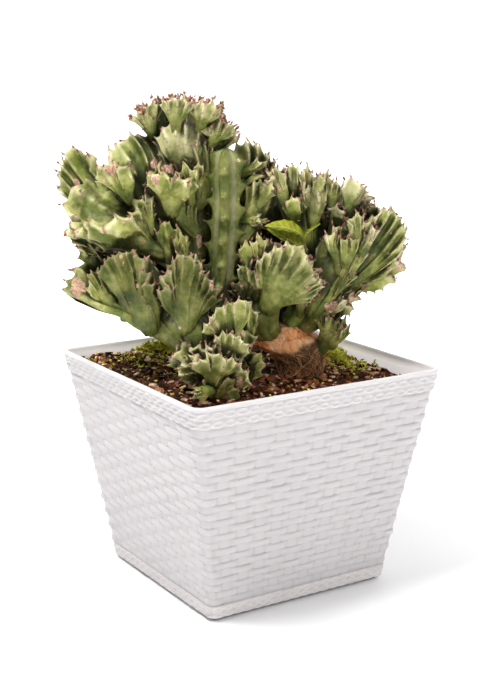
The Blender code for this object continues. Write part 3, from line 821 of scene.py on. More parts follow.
# %% Crests
CRESTS = {
    "lower_left_crest": (
        [(-22, -46, 178, 14), (-34, -42, 208, 15), (-52, -40, 234, 16)], [(-145, -36, 266),
        (-158, -34, 277), (-153, -24, 290), (-136, -14, 299), (-112, -10, 308), (-94, -28, 296),
        (-79, -42, 279)], 14, 12, 0.3, dict(ruffle=5, waves=4)),
    "lower_inner_crest": (
        [(-36, -58, 221, 10), (-42, -60, 240, 11)], [(-71, -46, 283), (-67, -34, 303), (-52, -34, 304),
        (-38, -42, 290), (-29, -52, 266)], 12, 9, 0.55, dict(tooth=4, ruffle=3)),
    "centre_right_crest": (
        [(24, -10, 232, 10), (16, -16, 244, 14), (14, -22, 258, 16)], [(-9, -34, 294), (4, -42, 302),
        (20, -36, 301), (33, -24, 313), (48, -27, 310), (59, -42, 296), (61, -52, 281)], 13, 11, 0.7,
        dict(depth=3.6, ruffle=2)),
    "far_right_crest": (
        [(60, -2, 270, 9), (78, -10, 276, 12)], [(74, -22, 342), (92, -14, 344), (115, -4, 344),
        (137, -2, 339), (139, -8, 318), (133, -20, 298), (115, -28, 288)], 13, 12, 0.35,
        dict(ruffle=4, spines=1.4)),
    "upper_right_back_crest": (
        [(68, 4, 303, 8), (58, 10, 312, 10)], [(21, 20, 371), (38, 27, 373), (57, 31, 376), (73, 30, 376),
        (85, 23, 362)], 12, 10, 0.6, dict(ruffle=3)),
    "upper_right_front_crest": (
        [(66, -8, 300, 7), (57, -10, 315, 9)], [(31, -13, 352), (42, -18, 362), (55, -18, 366),
        (66, -14, 360), (71, -10, 350)], 11, 9, 0.5, dict(ruffle=2, spines=1.5)),
    "right_pale_crest": (
        [(72, 0, 306, 7), (82, 2, 318, 8)], [(84, 8, 356), (90, 11, 369), (101, 11, 369), (108, 9, 358),
        (112, 6, 349)], 10, 9, 0.85, dict(depth=2)),
    "mid_right_crest": (
        [(66, -12, 272, 6), (76, -24, 276, 8)], [(81, -36, 305), (90, -39, 309), (95, -38, 299),
        (95, -34, 288)], 9, 8, 0.45, dict()),
    "lower_right_crest": (
        [(52, -2, 236, 8), (66, -8, 246, 9)], [(78, -22, 276), (94, -16, 283), (102, -12, 275),
        (99, -16, 264), (88, -22, 255)], 10, 9, 0.5, dict()),
    "side_rosette": (
        [(66, -8, 214, 6), (72, -10, 222, 7)], [(62, -18, 243), (73, -21, 247), (86, -20, 242),
        (88, -16, 230)], 8, 7, 0.35, dict(depth=2)),
    "upper_middle_crest": (
        [(-27, 6, 300, 8), (-4, 6, 325, 10)], [(-14, 4, 390), (-6, 5, 399), (8, 7, 397), (20, 10, 389),
        (29, 11, 377)], 11, 9, 0.6, dict()),
    "stacked_crest": (
        [(-4, -24, 318, 6), (4, -18, 330, 8)], [(-1, -16, 369), (8, -19, 374), (18, -18, 369),
        (24, -14, 358)], 9, 7, 0.35, dict()),
    "top_crest": (
        [(-50, 2, 371, 7), (-52, 7, 382, 9)], [(-97, -12, 427), (-88, 4, 440), (-72, 13, 443),
        (-54, 14, 444), (-37, 11, 438), (-22, 1, 429), (-13, -12, 410)], 13, 8, 0.35,
        dict(ruffle=6, waves=4, spines=7.0, tooth=5, cork=36.0)),
    "pale_crest": (
        [(-50, -8, 362, 6), (-50, -9, 376, 8)], [(-80, -12, 409), (-67, -17, 420), (-51, -19, 422),
        (-38, -18, 416), (-31, -15, 405)], 11, 11, 1.0, dict(depth=1.6, spines=0.5)),
    "upper_left_crest": (
        [(-48, -4, 334, 8), (-72, -8, 346, 11)], [(-129, -18, 376), (-122, -12, 391), (-104, -3, 406),
        (-88, -1, 412), (-74, -6, 402), (-62, -12, 396)], 13, 12, 0.6, dict(ruffle=3)),
    "inner_left_crest": (
        [(-42, -9, 322, 7), (-58, -16, 338, 9)], [(-91, -26, 373), (-80, -34, 378), (-66, -38, 376),
        (-52, -36, 374), (-43, -29, 368)], 10, 10, 0.35, dict()),
    "spiny_crest": (
        [(-46, -6, 346, 5), (-38, -10, 358, 7)], [(-58, -18, 391), (-47, -17, 399), (-36, -14, 400),
        (-29, -10, 399)], 8, 7, 0.4, dict(spines=2.0)),
    "left_crest": (
        [(-38, -6, 304, 8), (-70, -10, 318, 10)], [(-116, 6, 350), (-134, 4, 364), (-150, -3, 361),
        (-158, -12, 349), (-156, -23, 336), (-138, -32, 332)], 11, 24, 0.5, dict(depth=1.6)),
    "left_ridge_crest": (
        [(-40, -10, 296, 7), (-66, -18, 308, 10), (-86, -22, 315, 12)], [(-130, -27, 302), (-147, -31, 313),
        (-155, -37, 327), (-138, -43, 332), (-118, -47, 336), (-103, -45, 347), (-91, -38, 358),
        (-79, -31, 345)], 12, 10, 0.35, dict(tooth=4)),
    "far_left_crest": (
        [(-34, 5, 286, 6), (-82, 16, 312, 6), (-122, 14, 334, 7)], [(-165, 6, 356), (-165, 11, 377),
        (-156, 13, 394), (-145, 12, 392), (-136, 9, 374)], 11, 13, 0.45, dict(depth=2.5)),
    "hollow_crest": (
        [(-38, -2, 276, 7), (-46, -10, 293, 8)], [(-72, -15, 331), (-66, -19, 344), (-53, -21, 348),
        (-42, -19, 344)], 9, 11, 0.15, dict(depth=1.6, dim=0.6)),
    "rear_lobe": (
        [(14, 0, 233, 6), (11, -3, 262, 6), (10, -9, 284, 7)], [(-3, -14, 302), (1, -17, 315),
        (10, -19, 319), (19, -18, 315), (24, -16, 303)], 8, 8, 0.2, dict(dim=0.6)),
    "back_left_crest": (
        [(-34, 10, 262, 8), (-61, 17, 292, 10)], [(-128, 24, 314), (-125, 34, 345), (-110, 44, 372),
        (-85, 48, 392), (-57, 44, 394), (-38, 34, 380)], 12, 12, 0.4, dict(ruffle=5, waves=4)),
    "back_middle_crest": (
        [(20, 6, 232, 9), (15, 24, 258, 11)], [(-18, 30, 330), (-9, 44, 350), (12, 52, 361), (36, 52, 356),
        (55, 46, 342), (64, 36, 321)], 12, 12, 0.4, dict(ruffle=5, waves=3)),
    "back_low_left_crest": (
        [(-20, 16, 182, 9), (-24, 18, 214, 10), (-47, 22, 238, 11)], [(-122, 12, 288), (-112, 22, 308),
        (-89, 30, 314), (-62, 32, 312), (-40, 28, 296)], 12, 11, 0.35, dict(ruffle=4)),
    "back_low_right_crest": (
        [(38, 12, 222, 9), (42, 26, 244, 11)], [(12, 28, 266), (21, 38, 290), (48, 44, 303), (75, 40, 298),
        (92, 32, 275)], 12, 11, 0.4, dict(ruffle=4)),
    "lower_centre_crest": (
        [(-4, -36, 176, 7), (-6, -42, 205, 8), (-8, -47, 228, 8)], [(-36, -53, 248), (-25, -58, 258),
        (-10, -59, 264), (2, -56, 262), (6, -50, 250)], 9, 8, 0.35, dict()),
    "front_rosette_upper": (
        [(-8, -60, 178, 7), (-10, -60, 206, 8)], [(-28, -63, 232), (-19, -66, 241), (-5, -67, 242),
        (8, -62, 240)], 8, 8, 0.5, dict()),
    "front_rosette_left": (
        [(-24, -70, 178, 8), (-29, -72, 198, 9)], [(-65, -66, 217), (-53, -74, 228), (-34, -80, 232),
        (-14, -82, 231), (4, -76, 227)], 9, 8, 0.5, dict(ruffle=3, waves=4)),
    "front_rosette_lower": (
        [(-8, -80, 180, 7), (-14, -86, 193, 8)], [(-38, -92, 199), (-30, -96, 210), (-16, -98, 214),
        (0, -92, 210)], 8, 8, 0.3, dict()),
}
grown = {}
for seed, (name, (foot, margin, thick, pitch, pale, more)) in enumerate(CRESTS.items()):
    grown[name + "_skin"] = ([name], crest(foot, margin, thick, seed, pitch=pitch, pale=pale, **more))
print(len(grown), "crests,", sum(len(shape[1]) for _, shape in grown.values()), "faces")

# %% [markdown]
# ## Small lobes and frills
# A crest never stops dividing, so small fans stand on the faces of the large
# ones. Each is the same surface at a smaller size. A lobe is given by its root
# (x, y, z) inside the crest that carries it, the way (dx, dy, dz) to the middle
# of its own edge, its width and how pale it is. A frill is larger, and is given
# as a crest is: foot, margin, thickness, pitch and how pale. They could be waves
# in the large fan's own sheet, but then they couldn't stand clear of it.

# %% Small lobes
LOBES = {
    "left_lobes": [
        (-50, -10, 372, 1, -6, 26, 15, 0.45), (-40, -8, 380, 2, -4, 24, 14, 0.45),
        (-49, -27, 361, -3, -10, 25, 15, 0.3), (-42, -18, 365, -1, -8, 23, 12, 0.3),
        (-84, -32, 334, -5, -4, 24, 13, 0.55), (-67, -29, 307, -4, -6, 30, 17, 0.2),
        (-55, -36, 303, -3, -5, 28, 13, 0.15), (-135, -21, 300, -11, -8, 18, 21, 0.35),
        (-117, -21, 300, -6, -6, 24, 15, 0.35), (-100, -23, 303, -4, -6, 30, 15, 0.4),
    ],
    "low_lobes": [
        (-120, -36, 266, -14, -8, 24, 22, 0.3), (-108, -38, 262, 0, -8, 40, 17, 0.3),
    ],
    "right_lobes": [
        (-2, 0, 377, 17, -12, 10, 13, 0.5), (-2, -1, 366, 19, -12, 8, 13, 0.45),
        (-1, 0, 355, 19, -12, 7, 12, 0.4), (-1, -1, 345, 17, -11, 4, 12, 0.35),
        (0, -22, 338, 15, -10, 1, 11, 0.3), (15, -25, 355, 10, -8, 15, 12, 0.5),
        (35, -21, 356, -9, -7, 26, 17, 0.7), (44, -13, 357, -3, -6, 27, 15, 0.75),
        (56, -18, 356, 0, -6, 27, 15, 0.75), (66, -23, 351, 1, -6, 27, 15, 0.7),
        (82, -42, 302, -4, -10, 30, 13, 0.5), (89, -40, 307, 3, -12, 24, 12, 0.5),
        (95, -41, 296, 6, -8, 21, 12, 0.5), (85, -34, 284, 5, -10, 23, 13, 0.5),
        (81, -30, 275, 12, -10, 20, 13, 0.5), (77, -19, 265, 16, -8, 15, 12, 0.5),
        (63, -17, 248, 9, -10, 19, 17, 0.85), (50, -13, 253, 3, -8, 16, 13, 0.7),
        (73, -19, 254, 12, -8, 13, 13, 0.6), (2, -36, 297, -2, -6, 23, 13, 0.15),
        (14, -42, 302, -1, -6, 22, 13, 0.2), (26, -30, 300, -3, -6, 20, 12, 0.3),
        (-1, -29, 263, -10, -6, 19, 12, 0.4),
    ],
    "hidden_lobes": [
        (-35, 8, 318, 0, 2, 42, 26, 0.1), (-112, 10, 338, -6, 4, 34, 28, 0.1),
        (73, -7, 311, -7, 12, 39, 25, 0.3), (72, -2, 316, -3, 6, 46, 22, 0.4),
        (-6, -8, 228, 0, -2, 58, 24, 0.1), (0, 6, 250, 2, 0, 60, 26, 0.1), (16, 6, 350, 6, 4, 32, 18, 0.4),
    ],
    "top_lobes": [
        (-83, -3, 417, -5, -7, 20, 12, 0.35), (-29, -7, 411, 4, -6, 16, 12, 0.35),
        (-18, -6, 407, 5, -5, 12, 10, 0.35),
    ],
}
LOBE = dict(
    pitch=7.6, depth=2.1, tooth=3.8, spines=0.7, flare=1.0,
    pleat=1.8, lobes=1.8, sway=2.4, shade=0.7, painted=0.5)


def lobe(x, y, z, dx, dy, dz, width, pale, seed):
    """A small fan. Its edge is a parabola, and its ends curl to the front or to the back."""
    root, way = np.array((x, y, z), float), np.array((dx, dy, dz), float)
    side = unit(np.cross(way, (0.0, -1.0, 0.0)))
    toward = unit(np.cross(side, way))
    u = np.linspace(-1, 1, 5)[:, None]
    curl = toward * width * (0.3 - 0.45 * (seed % 2)) * (u**2 - 0.5)
    margin = root + way * (1 - 0.45 * u**2) + side * u * width / 2 + curl
    foot = [(*(root - way * 0.3), width * 0.24), (*(root + way * 0.12), width * 0.3)]
    return crest(foot, margin, max(5.5, width * 0.36), pale=pale, seed=seed, **LOBE)


# %% Frills
FRILLS = {
    "lower_left_frills": [
        ([(-84, -38, 243, 9), (-86, -44, 250, 10)], [(-130, -52, 294), (-121, -52, 305), (-110, -50, 310),
         (-98, -50, 310), (-91, -54, 302), (-84, -57, 292), (-77, -59, 279)], 10, 9, 0.2),
        ([(-52, -57, 246, 8), (-52, -63, 253, 9)], [(-75, -76, 279), (-71, -72, 286), (-67, -68, 300),
         (-57, -67, 311), (-44, -68, 307), (-34, -72, 296), (-28, -74, 284), (-27, -75, 273)], 10, 8, 0.3),
    ],
    "low_frills": [
        ([(-13, -78, 238, 7), (-13, -84, 245, 8)], [(-34, -91, 252), (-28, -93, 263), (-20, -93, 272),
         (-9, -92, 276), (1, -91, 276), (4, -90, 268)], 8, 8, 0.4),
        ([(-18, -87, 228, 5), (-16, -95, 235, 6)], [(-28, -99, 243), (-20, -100, 249), (-11, -101, 248),
         (-4, -101, 244), (1, -100, 235)], 8, 7, 0.5),
        ([(-21, -81, 219, 5), (-20, -90, 225, 6)], [(-34, -98, 236), (-26, -98, 240), (-16, -99, 239),
         (-8, -100, 232), (-4, -99, 224)], 8, 7, 0.65),
        ([(-27, -91, 208, 7), (-27, -100, 215, 8)], [(-45, -107, 235), (-39, -112, 229), (-29, -112, 236),
         (-20, -113, 234), (-10, -112, 231), (-4, -111, 223)], 9, 7, 0.55),
        ([(-33, -69, 210, 4), (-40, -77, 211, 5)], [(-49, -81, 226), (-56, -85, 221), (-58, -86, 213),
         (-52, -86, 204), (-44, -87, 199)], 9, 7, 0.45),
        ([(-26, -86, 191, 4), (-25, -94, 198, 5)], [(-36, -99, 211), (-29, -101, 216), (-19, -103, 217),
         (-12, -105, 210), (-15, -103, 199)], 8, 8, 0.15),
        ([(-11, -89, 204, 4), (-9, -98, 209, 5)], [(-16, -103, 221), (-6, -107, 220), (1, -108, 213),
         (-2, -106, 204)], 8, 8, 0.35),
        ([(6, -66, 206, 5), (6, -70, 211, 6)], [(0, -72, 224), (8, -75, 229), (15, -75, 223),
         (15, -76, 214), (9, -75, 205)], 8, 8, 0.2),
        ([(-28, -99, 202, 4), (-34, -109, 203, 5)], [(-43, -114, 210), (-43, -116, 203), (-36, -116, 197)],
         7, 7, 0.3),
    ],
    "right_frills": [
        ([(11, -26, 266, 5), (11, -32, 273, 6)], [(-5, -38, 299), (3, -42, 299), (13, -45, 296),
         (20, -42, 302), (25, -38, 308)], 10, 9, 0.4),
        ([(23, -30, 264, 5), (30, -37, 268, 6)], [(47, -45, 299), (56, -47, 294), (62, -48, 284),
         (57, -47, 274), (49, -44, 268)], 9, 8, 0.7),
        ([(44, -9, 330, 4), (44, -16, 337, 5)], [(33, -22, 348), (36, -25, 354), (44, -27, 356),
         (51, -25, 357), (55, -23, 350)], 10, 8, 0.25),
        ([(60, -13, 330, 4), (61, -19, 337, 5)], [(51, -25, 356), (56, -25, 365), (62, -26, 363),
         (68, -27, 358), (72, -25, 351)], 9, 9, 0.7),
        ([(73, 1, 327, 4), (73, -8, 334, 5)], [(65, -15, 343), (70, -16, 350), (78, -17, 349),
         (82, -15, 342)], 8, 7, 0.75),
        ([(92, -18, 340, 4), (93, -24, 348, 5)], [(84, -30, 369), (89, -30, 375), (94, -31, 375),
         (100, -31, 372), (106, -31, 364), (103, -30, 355)], 9, 10, 0.95),
        ([(77, -14, 344, 4), (77, -20, 352, 5)], [(71, -25, 369), (75, -26, 373), (80, -26, 371),
         (84, -25, 365)], 8, 8, 0.5),
        ([(95, -13, 343, 4), (100, -21, 347, 5)], [(104, -27, 354), (110, -28, 354), (107, -27, 348)], 7, 6,
         0.3),
        ([(110, -3, 314, 4), (112, -9, 321, 5)], [(105, -14, 341), (110, -15, 347), (117, -16, 347),
         (124, -16, 341), (127, -15, 333)], 10, 10, 0.4),
        ([(121, -2, 311, 4), (126, -7, 317, 5)], [(127, -13, 339), (134, -13, 343), (139, -13, 336),
         (141, -13, 327), (137, -13, 320)], 9, 9, 0.5),
        ([(97, -44, 320, 4), (97, -52, 327, 5)], [(91, -60, 337), (93, -62, 345), (99, -63, 347),
         (103, -61, 342)], 8, 8, 0.8),
        ([(101, -42, 310, 4), (103, -50, 316, 5)], [(100, -57, 326), (106, -59, 333), (112, -60, 334),
         (113, -58, 328)], 8, 8, 0.9),
        ([(88, -43, 301, 4), (89, -50, 308, 5)], [(83, -56, 317), (88, -58, 325), (95, -59, 326),
         (98, -58, 319)], 8, 8, 0.4),
        ([(83, -8, 332, 4), (83, -17, 338, 5)], [(74, -25, 350), (81, -27, 348), (89, -26, 349),
         (91, -24, 342)], 7, 7, 0.85),
        ([(64, -16, 248, 4), (70, -23, 253, 5)], [(76, -31, 261), (83, -33, 267), (89, -34, 266),
         (89, -32, 258)], 7, 8, 0.9),
        ([(88, -12, 261, 4), (92, -19, 267, 5)], [(94, -24, 281), (102, -24, 281), (104, -24, 271)], 7, 7,
         0.5),
        ([(73, -13, 225, 4), (74, -20, 233, 5)], [(64, -25, 245), (69, -26, 250), (77, -27, 248),
         (84, -26, 245), (90, -25, 240)], 7, 5, 0.35),
        ([(80, -10, 220, 4), (80, -18, 226, 5)], [(74, -26, 236), (81, -27, 239), (89, -26, 235)], 6, 5,
         0.4),
        ([(20, -32, 261, 9), (23, -38, 268, 10)], [(8, -50, 300), (18, -53, 310), (30, -54, 316),
         (42, -54, 318), (51, -54, 310), (59, -53, 298), (63, -50, 284), (56, -46, 270)], 12, 9, 0.62),
        ([(93, -19, 279, 6), (98, -24, 285, 7)], [(104, -33, 329), (114, -35, 343), (125, -36, 348),
         (134, -36, 341), (139, -35, 328), (138, -34, 314), (132, -33, 303), (120, -31, 295)], 12, 9, 0.5),
        ([(62, -19, 252, 7), (65, -24, 260, 8)], [(61, -30, 311), (68, -31, 318), (78, -32, 321),
         (87, -32, 316), (92, -31, 302), (89, -30, 285), (82, -29, 271)], 12, 13, 0.35),
    ],
    "top_frills": [
        ([(-83, 0, 410, 4), (-84, -6, 417, 5)], [(-96, -10, 428), (-92, -11, 436), (-84, -12, 440),
         (-77, -12, 439), (-73, -11, 433)], 9, 7, 0.6),
        ([(-61, -19, 417, 4), (-61, -25, 425, 5)], [(-74, -30, 439), (-67, -31, 443), (-59, -31, 444),
         (-51, -31, 442), (-46, -30, 438)], 9, 7, 0.6),
        ([(-41, -15, 415, 4), (-39, -22, 423, 5)], [(-48, -27, 438), (-41, -28, 442), (-33, -28, 441),
         (-27, -27, 437), (-24, -26, 430)], 9, 7, 0.6),
        ([(-32, -9, 403, 4), (-28, -17, 410, 5)], [(-37, -23, 418), (-29, -25, 424), (-20, -25, 425),
         (-14, -24, 421), (-13, -22, 413)], 9, 7, 0.6),
    ],
    "left_frills": [
        ([(-100, -23, 355, 5), (-104, -29, 362, 6)], [(-129, -35, 376), (-126, -38, 385), (-118, -40, 389),
         (-108, -40, 386), (-98, -37, 375)], 15, 14, 0.45),
        ([(-65, -22, 345, 7), (-65, -29, 353, 8)], [(-86, -37, 372), (-81, -40, 380), (-69, -42, 380),
         (-57, -42, 375), (-48, -39, 377), (-43, -35, 368)], 12, 11, 0.35),
    ],
}
FRILL = dict(tooth=3.3, spines=1.2, flare=1.0, pleat=2.0, lobes=2.0, sway=3.0, shade=0.65, painted=0.7)
FRILL_WAYS = {
    "lower_left_frills": dict(dim=0.55),
    "low_frills": dict(tooth=2.4, pleat=1.4, painted=1.0),
    "top_frills": dict(spines=4.0, tooth=4.5, cork=16.0),
}
FIRST_FRILL_SEED, FIRST_LOBE_SEED = 60, 100
for name, rows in FRILLS.items():
    way, fans = {**FRILL, **FRILL_WAYS.get(name, {})}, []
    for seed, (foot, margin, thick, pitch, pale) in enumerate(rows, FIRST_FRILL_SEED):
        fans.append(crest(foot, margin, thick, seed, pitch=pitch, pale=pale, depth=thick * 0.34, **way))
    grown[name] = ((), merge(fans))
for name, rows in LOBES.items():
    grown[name] = ((), merge([lobe(*row, seed) for seed, row in enumerate(rows, FIRST_LOBE_SEED)]))
print("lobes:", sum(map(len, LOBES.values())), "frills:", sum(map(len, FRILLS.values())))

# %% [markdown]
# ## Dark hollows
# Deep between the crests little light gets in, so the skin there is painted
# darker: painted shade. How open a place is follows from a coarse grid of small
# cells that are marked where there is skin. From each point, steps go out in 14
# directions, and the light left in a direction is the exponential of minus 1.5
# times the marks met. An Ambient Occlusion node does this too, but it slows
# down each render.

# %% Dark hollows
CELL, CELLS_FROM = 4.0, np.array([-190.0, -135.0, 150.0])
STEPS_OUT = (9, 14, 20, 27, 35, 45, 57)
FILLED = np.zeros((92, 68, 80), np.float32)
for _, shape in grown.values():
    cell = ((shape[0] - CELLS_FROM) / CELL).astype(int)
    FILLED[cell[:, 0], cell[:, 1], cell[:, 2]] = 1.0
for axis in range(3):
    FILLED = (np.roll(FILLED, 1, axis) + FILLED * 2 + np.roll(FILLED, -1, axis)) / 4
WAYS = np.array(list(np.ndindex(3, 3, 3)), float) - 1
WAYS = unit(WAYS[np.isin(np.abs(WAYS).sum(1), (1, 3))])
print("cells near skin:", int((FILLED > 0).sum()), "directions:", len(WAYS))


def facing(points, faces):
    """Each point's normal, as the sum of its faces' cross products of the diagonals."""
    a, b, c, d = (points[faces[:, k]] for k in range(4))
    flat = np.cross(c - a, d - b)
    total = np.stack([np.bincount(faces.ravel(), np.repeat(flat[:, k], 4), len(points)) for k in range(3)], 1)
    return unit(total)


def closed_in(points, faces):
    """0 where a point sees open air all round its normal, to 1 where it is shut in."""
    normals = facing(points, faces)
    seen, total = np.zeros(len(points)), np.zeros(len(points))
    for way in WAYS:
        weight = np.clip(normals @ way + 0.15, 0, None)
        met = 0.0
        for far in STEPS_OUT:
            cell = ((points + way * far - CELLS_FROM) / CELL).astype(int)
            met = met + FILLED[tuple(np.clip(cell, 0, np.array(FILLED.shape) - 1).T)]
        seen, total = seen + weight * np.exp(-1.5 * met), total + weight
    return 1 - seen / np.maximum(total, 1e-6)


# %% Old wounds
# A place in plant mm and a reach, for each.
SCABS = [
    (-116, -39, 385, 8), (-81, -13, 387, 6), (-66, -12, 383, 10), (-79, -47, 376, 7), (-154, 5, 369, 6),
    (-150, -28, 343, 5), (-150, -41, 332, 5), (-42, -17, 319, 6), (-77, -70, 286, 5), (-149, -37, 279, 10),
    (-95, -53, 284, 4), (-28, -74, 289, 6), (52, -29, 302, 5), (34, -31, 297, 4), (56, -53, 283, 6),
    (136, -18, 302, 10), (79, -25, 261, 9), (97, -16, 271, 7), (113, -27, 321, 5), (-5, -105, 209, 7),
    (-11, -111, 235, 5), (-20, 55, 320, 9), (-90, 45, 350, 8), (50, 52, 320, 8), (70, 36, 360, 8),
    (-60, 40, 300, 8),
]
OPEN_AIR, SHUT_IN = 0.57, 0.9


def shaded(shape):
    """The shape with scabs near old wounds in its second mark, and painted shade by how shut in a point is in
    its third.
    """
    points, faces, growth, marks = shape
    marks = np.array(np.broadcast_to(marks, (len(points), 3)))
    for k, (x, y, z, reach) in enumerate(SCABS):
        stretch = (1.35, 0.6, 0.85) if k % 2 else (0.9, 0.6, 1.3)
        away = np.linalg.norm((points - (x, y, z)) * stretch, axis=1) + reach * 0.45 * rough(points, 4.5, k)
        marks[:, 1] = np.maximum(marks[:, 1], 1 - ease(away / reach - 0.25))
    hidden = ease((closed_in(points, faces) - OPEN_AIR) / (SHUT_IN - OPEN_AIR))
    marks[:, 2] = np.maximum(marks[:, 2], hidden)
    return points, faces, growth, marks


for name, (stands_for, shape) in grown.items():
    shape = shaded(shape)
    # The hidden lobes deep inside the plant get at least 0.85 of painted shade.
    if name == "hidden_lobes":
        shape[3][:, 2] = np.maximum(shape[3][:, 2], 0.85)
    build(name, shape, from_plant, skin, stands_for)
print("crests and lobes built,", sum(triangles_made.values()), "triangles")

# %% [markdown]
# ## The pot
# The pot is one moulding of white plastic that copies basketwork. Flat stakes
# run up it, twelve to a side, and the strips of 24 rows pass over every second
# one, a stake further on in each row. Strips also pass over the four corners.
# The wall is one grid: its columns run round the pot by even shares of each
# side, and its rows go up the outside, over the rim and down the inside. The
# weave is a height added along the wall's own normal. A bump would be lighter
# but leave the outline smooth, and strips laid one by one need far more faces.

# %% Pot outline
POT_HEIGHT, WALL_FOOT, WALL_TOP = 206.0, 93.0, 128.8
CORNER_TOP, CORNER_FOOT = 10.4, 6.0


def round_square(turn, inward, height):
    """Point and outward direction on the pot's outline. turn runs from 0 to 4, with corners at whole numbers.

    Along each side the run is an eighth turn of the corner, a straight part and
    an eighth turn again, so the angle is the run outside the straight part
    divided by the corner's radius.
    """
    half = WALL_FOOT + (WALL_TOP - WALL_FOOT) * height / POT_HEIGHT - inward
    corner = np.maximum(CORNER_FOOT + (CORNER_TOP - CORNER_FOOT) * height / POT_HEIGHT - inward, 1.0)
    side = np.floor(turn).astype(int) % 4
    straight, eighth = 2 * (half - corner), np.pi * corner / 4
    run = (turn - np.floor(turn)) * (straight + 2 * eighth) - eighth
    angle = np.minimum(run, 0) / corner + np.maximum(run - straight, 0) / corner
    normals = np.array([(0, -1), (1, 0), (0, 1), (-1, 0)], float)[side]
    tangents = np.array([(1, 0), (0, 1), (-1, 0), (0, -1)], float)[side]
    direction = normals * np.cos(angle)[..., None] + tangents * np.sin(angle)[..., None]
    along = np.clip(run, 0, straight) - (half - corner)
    point = normals * (half - corner)[..., None] + tangents * along[..., None] + direction * corner[..., None]
    return point, direction


def wall_points(turn, inward, height, relief=0.0):
    """Points on the outline at those heights, moved out by the relief."""
    flat, direction = round_square(turn, inward, height)
    relief, height = (relief + 0 * turn)[..., None], (height + 0 * turn)[..., None]
    return np.concatenate([flat + direction * relief, height], -1)


# %% Pot wall
STAKES, PER_STAKE, WEAVE_ROWS, PER_ROW = 12, 8, 24, 7
WEAVE_LOW, WEAVE_HIGH = 15.5, 185.5
INNER_FLOOR = 4.0
# Rows of (distance inside the wall, height): below the weave, and above it.
LOW_ROWS = [
    (60.0, 0.0), (3.4, 0.0), (3.2, 0.3), (3.0, 2.0), (2.8, 2.3), (0.2, 2.5), (0.1, 3.2), (0.1, 14.6),
    (-0.3, 14.8), (-0.6, 15.2)]
HIGH_ROWS = [
    (-0.6, 185.8), (-0.3, 186.2), (0.1, 186.4), (0.1, 201.6), (-1.1, 202.2), (-1.3, 203.8), (-0.8, 205.1),
    (0.6, 205.9), (2.2, 206.0), (3.2, 205.6), (3.8, 204.6), (3.9, 199.0), (3.2, 197.5), (2.2, 196.5),
    (2.0, 150.0), (2.0, 60.0), (2.2, 5.0), (12.0, INNER_FLOOR), (60.0, INNER_FLOOR)]


def weave_height(turn, height):
    """How far the weave stands out in mm: an arched strip over a stake, or the flat stake between strips."""
    level = (height - WEAVE_LOW) / (WEAVE_HIGH - WEAVE_LOW) * WEAVE_ROWS
    level = level + 0.03 * rough(np.stack([turn * 5, height * 0.02, turn * 0], -1), 1.0, 1)
    row = np.clip(np.floor(level), 0, WEAVE_ROWS - 1)
    near = np.round((turn * STAKES + row) / 2) * 2 - row
    offset = np.abs(turn * STAKES - near)
    luck = rough(np.stack([near % (4 * STAKES) * 1.7, row * 2.3, near * 0], -1), 1.0, 2)
    swell = 0.9 + 0.25 * rough(np.stack([turn * 6, height / 24, turn * 0 + 5], -1), 1.0, 3)
    arch = np.sqrt(np.clip(1 - (offset / (0.7 + 0.05 * luck)) ** 2.8, 0, 1))
    belly = np.sqrt(np.clip(1 - np.abs((level - row) * 2 - 0.94) ** 2.6, 0, 1))
    strip = -0.8 + (2.8 + 0.3 * luck) * swell * arch * belly
    stake = 0.25 + 0.3 * np.clip(1 - ((1 - offset) / 0.36) ** 2, 0, 1)
    return np.maximum(strip, stake) - 0.9


def pot_wall():
    """The wall as one sheet, from the underside's middle over the rim to the inner floor's middle."""
    weave = np.linspace(WEAVE_LOW, WEAVE_HIGH, WEAVE_ROWS * PER_ROW + 1)
    rows = np.array(LOW_ROWS + [(0.0, h) for h in weave] + HIGH_ROWS)
    turn = np.linspace(0, 4, 4 * STAKES * PER_STAKE, endpoint=False)
    t, h = np.meshgrid(turn, rows[:, 1])
    inward = np.repeat(rows[:, :1], len(turn), 1)
    relief = np.zeros_like(t)
    middle = slice(len(LOW_ROWS), len(LOW_ROWS) + len(weave))
    relief[middle] = weave_height(t[middle], h[middle])
    points, faces = closed_rings(wall_points(t, inward, h, relief), (0, 0, 0), (0, 0, INNER_FLOOR))
    growth = np.zeros((len(points), 3))
    # Growth holds how deep a recess is, which gets painted shade and, in the foot band, dirt; the inner wall,
    # which glows as painted light; and the undercut under the foot, painted near black as its shadow.
    growth[:-2, 0] = np.clip(-relief / 1.2, 0, 1).ravel()
    growth[:-2, 1] = ((inward > 1.5) & (h > 4.5) & (h < 200)).ravel()
    growth[:-2, 2] = (h < 2.4).ravel()
    return points, faces, growth, PLAIN


# %% Braided bands
# Heights in mm, cord crossings on a side, and how far the cords stand out.
BRAIDS = {"rim_braid": (186.0, 202.4, 21, 2.0), "foot_braid": (2.6, 14.9, 18, 1.5)}
PER_CROSSING, BRAID_ROWS = 8, 17


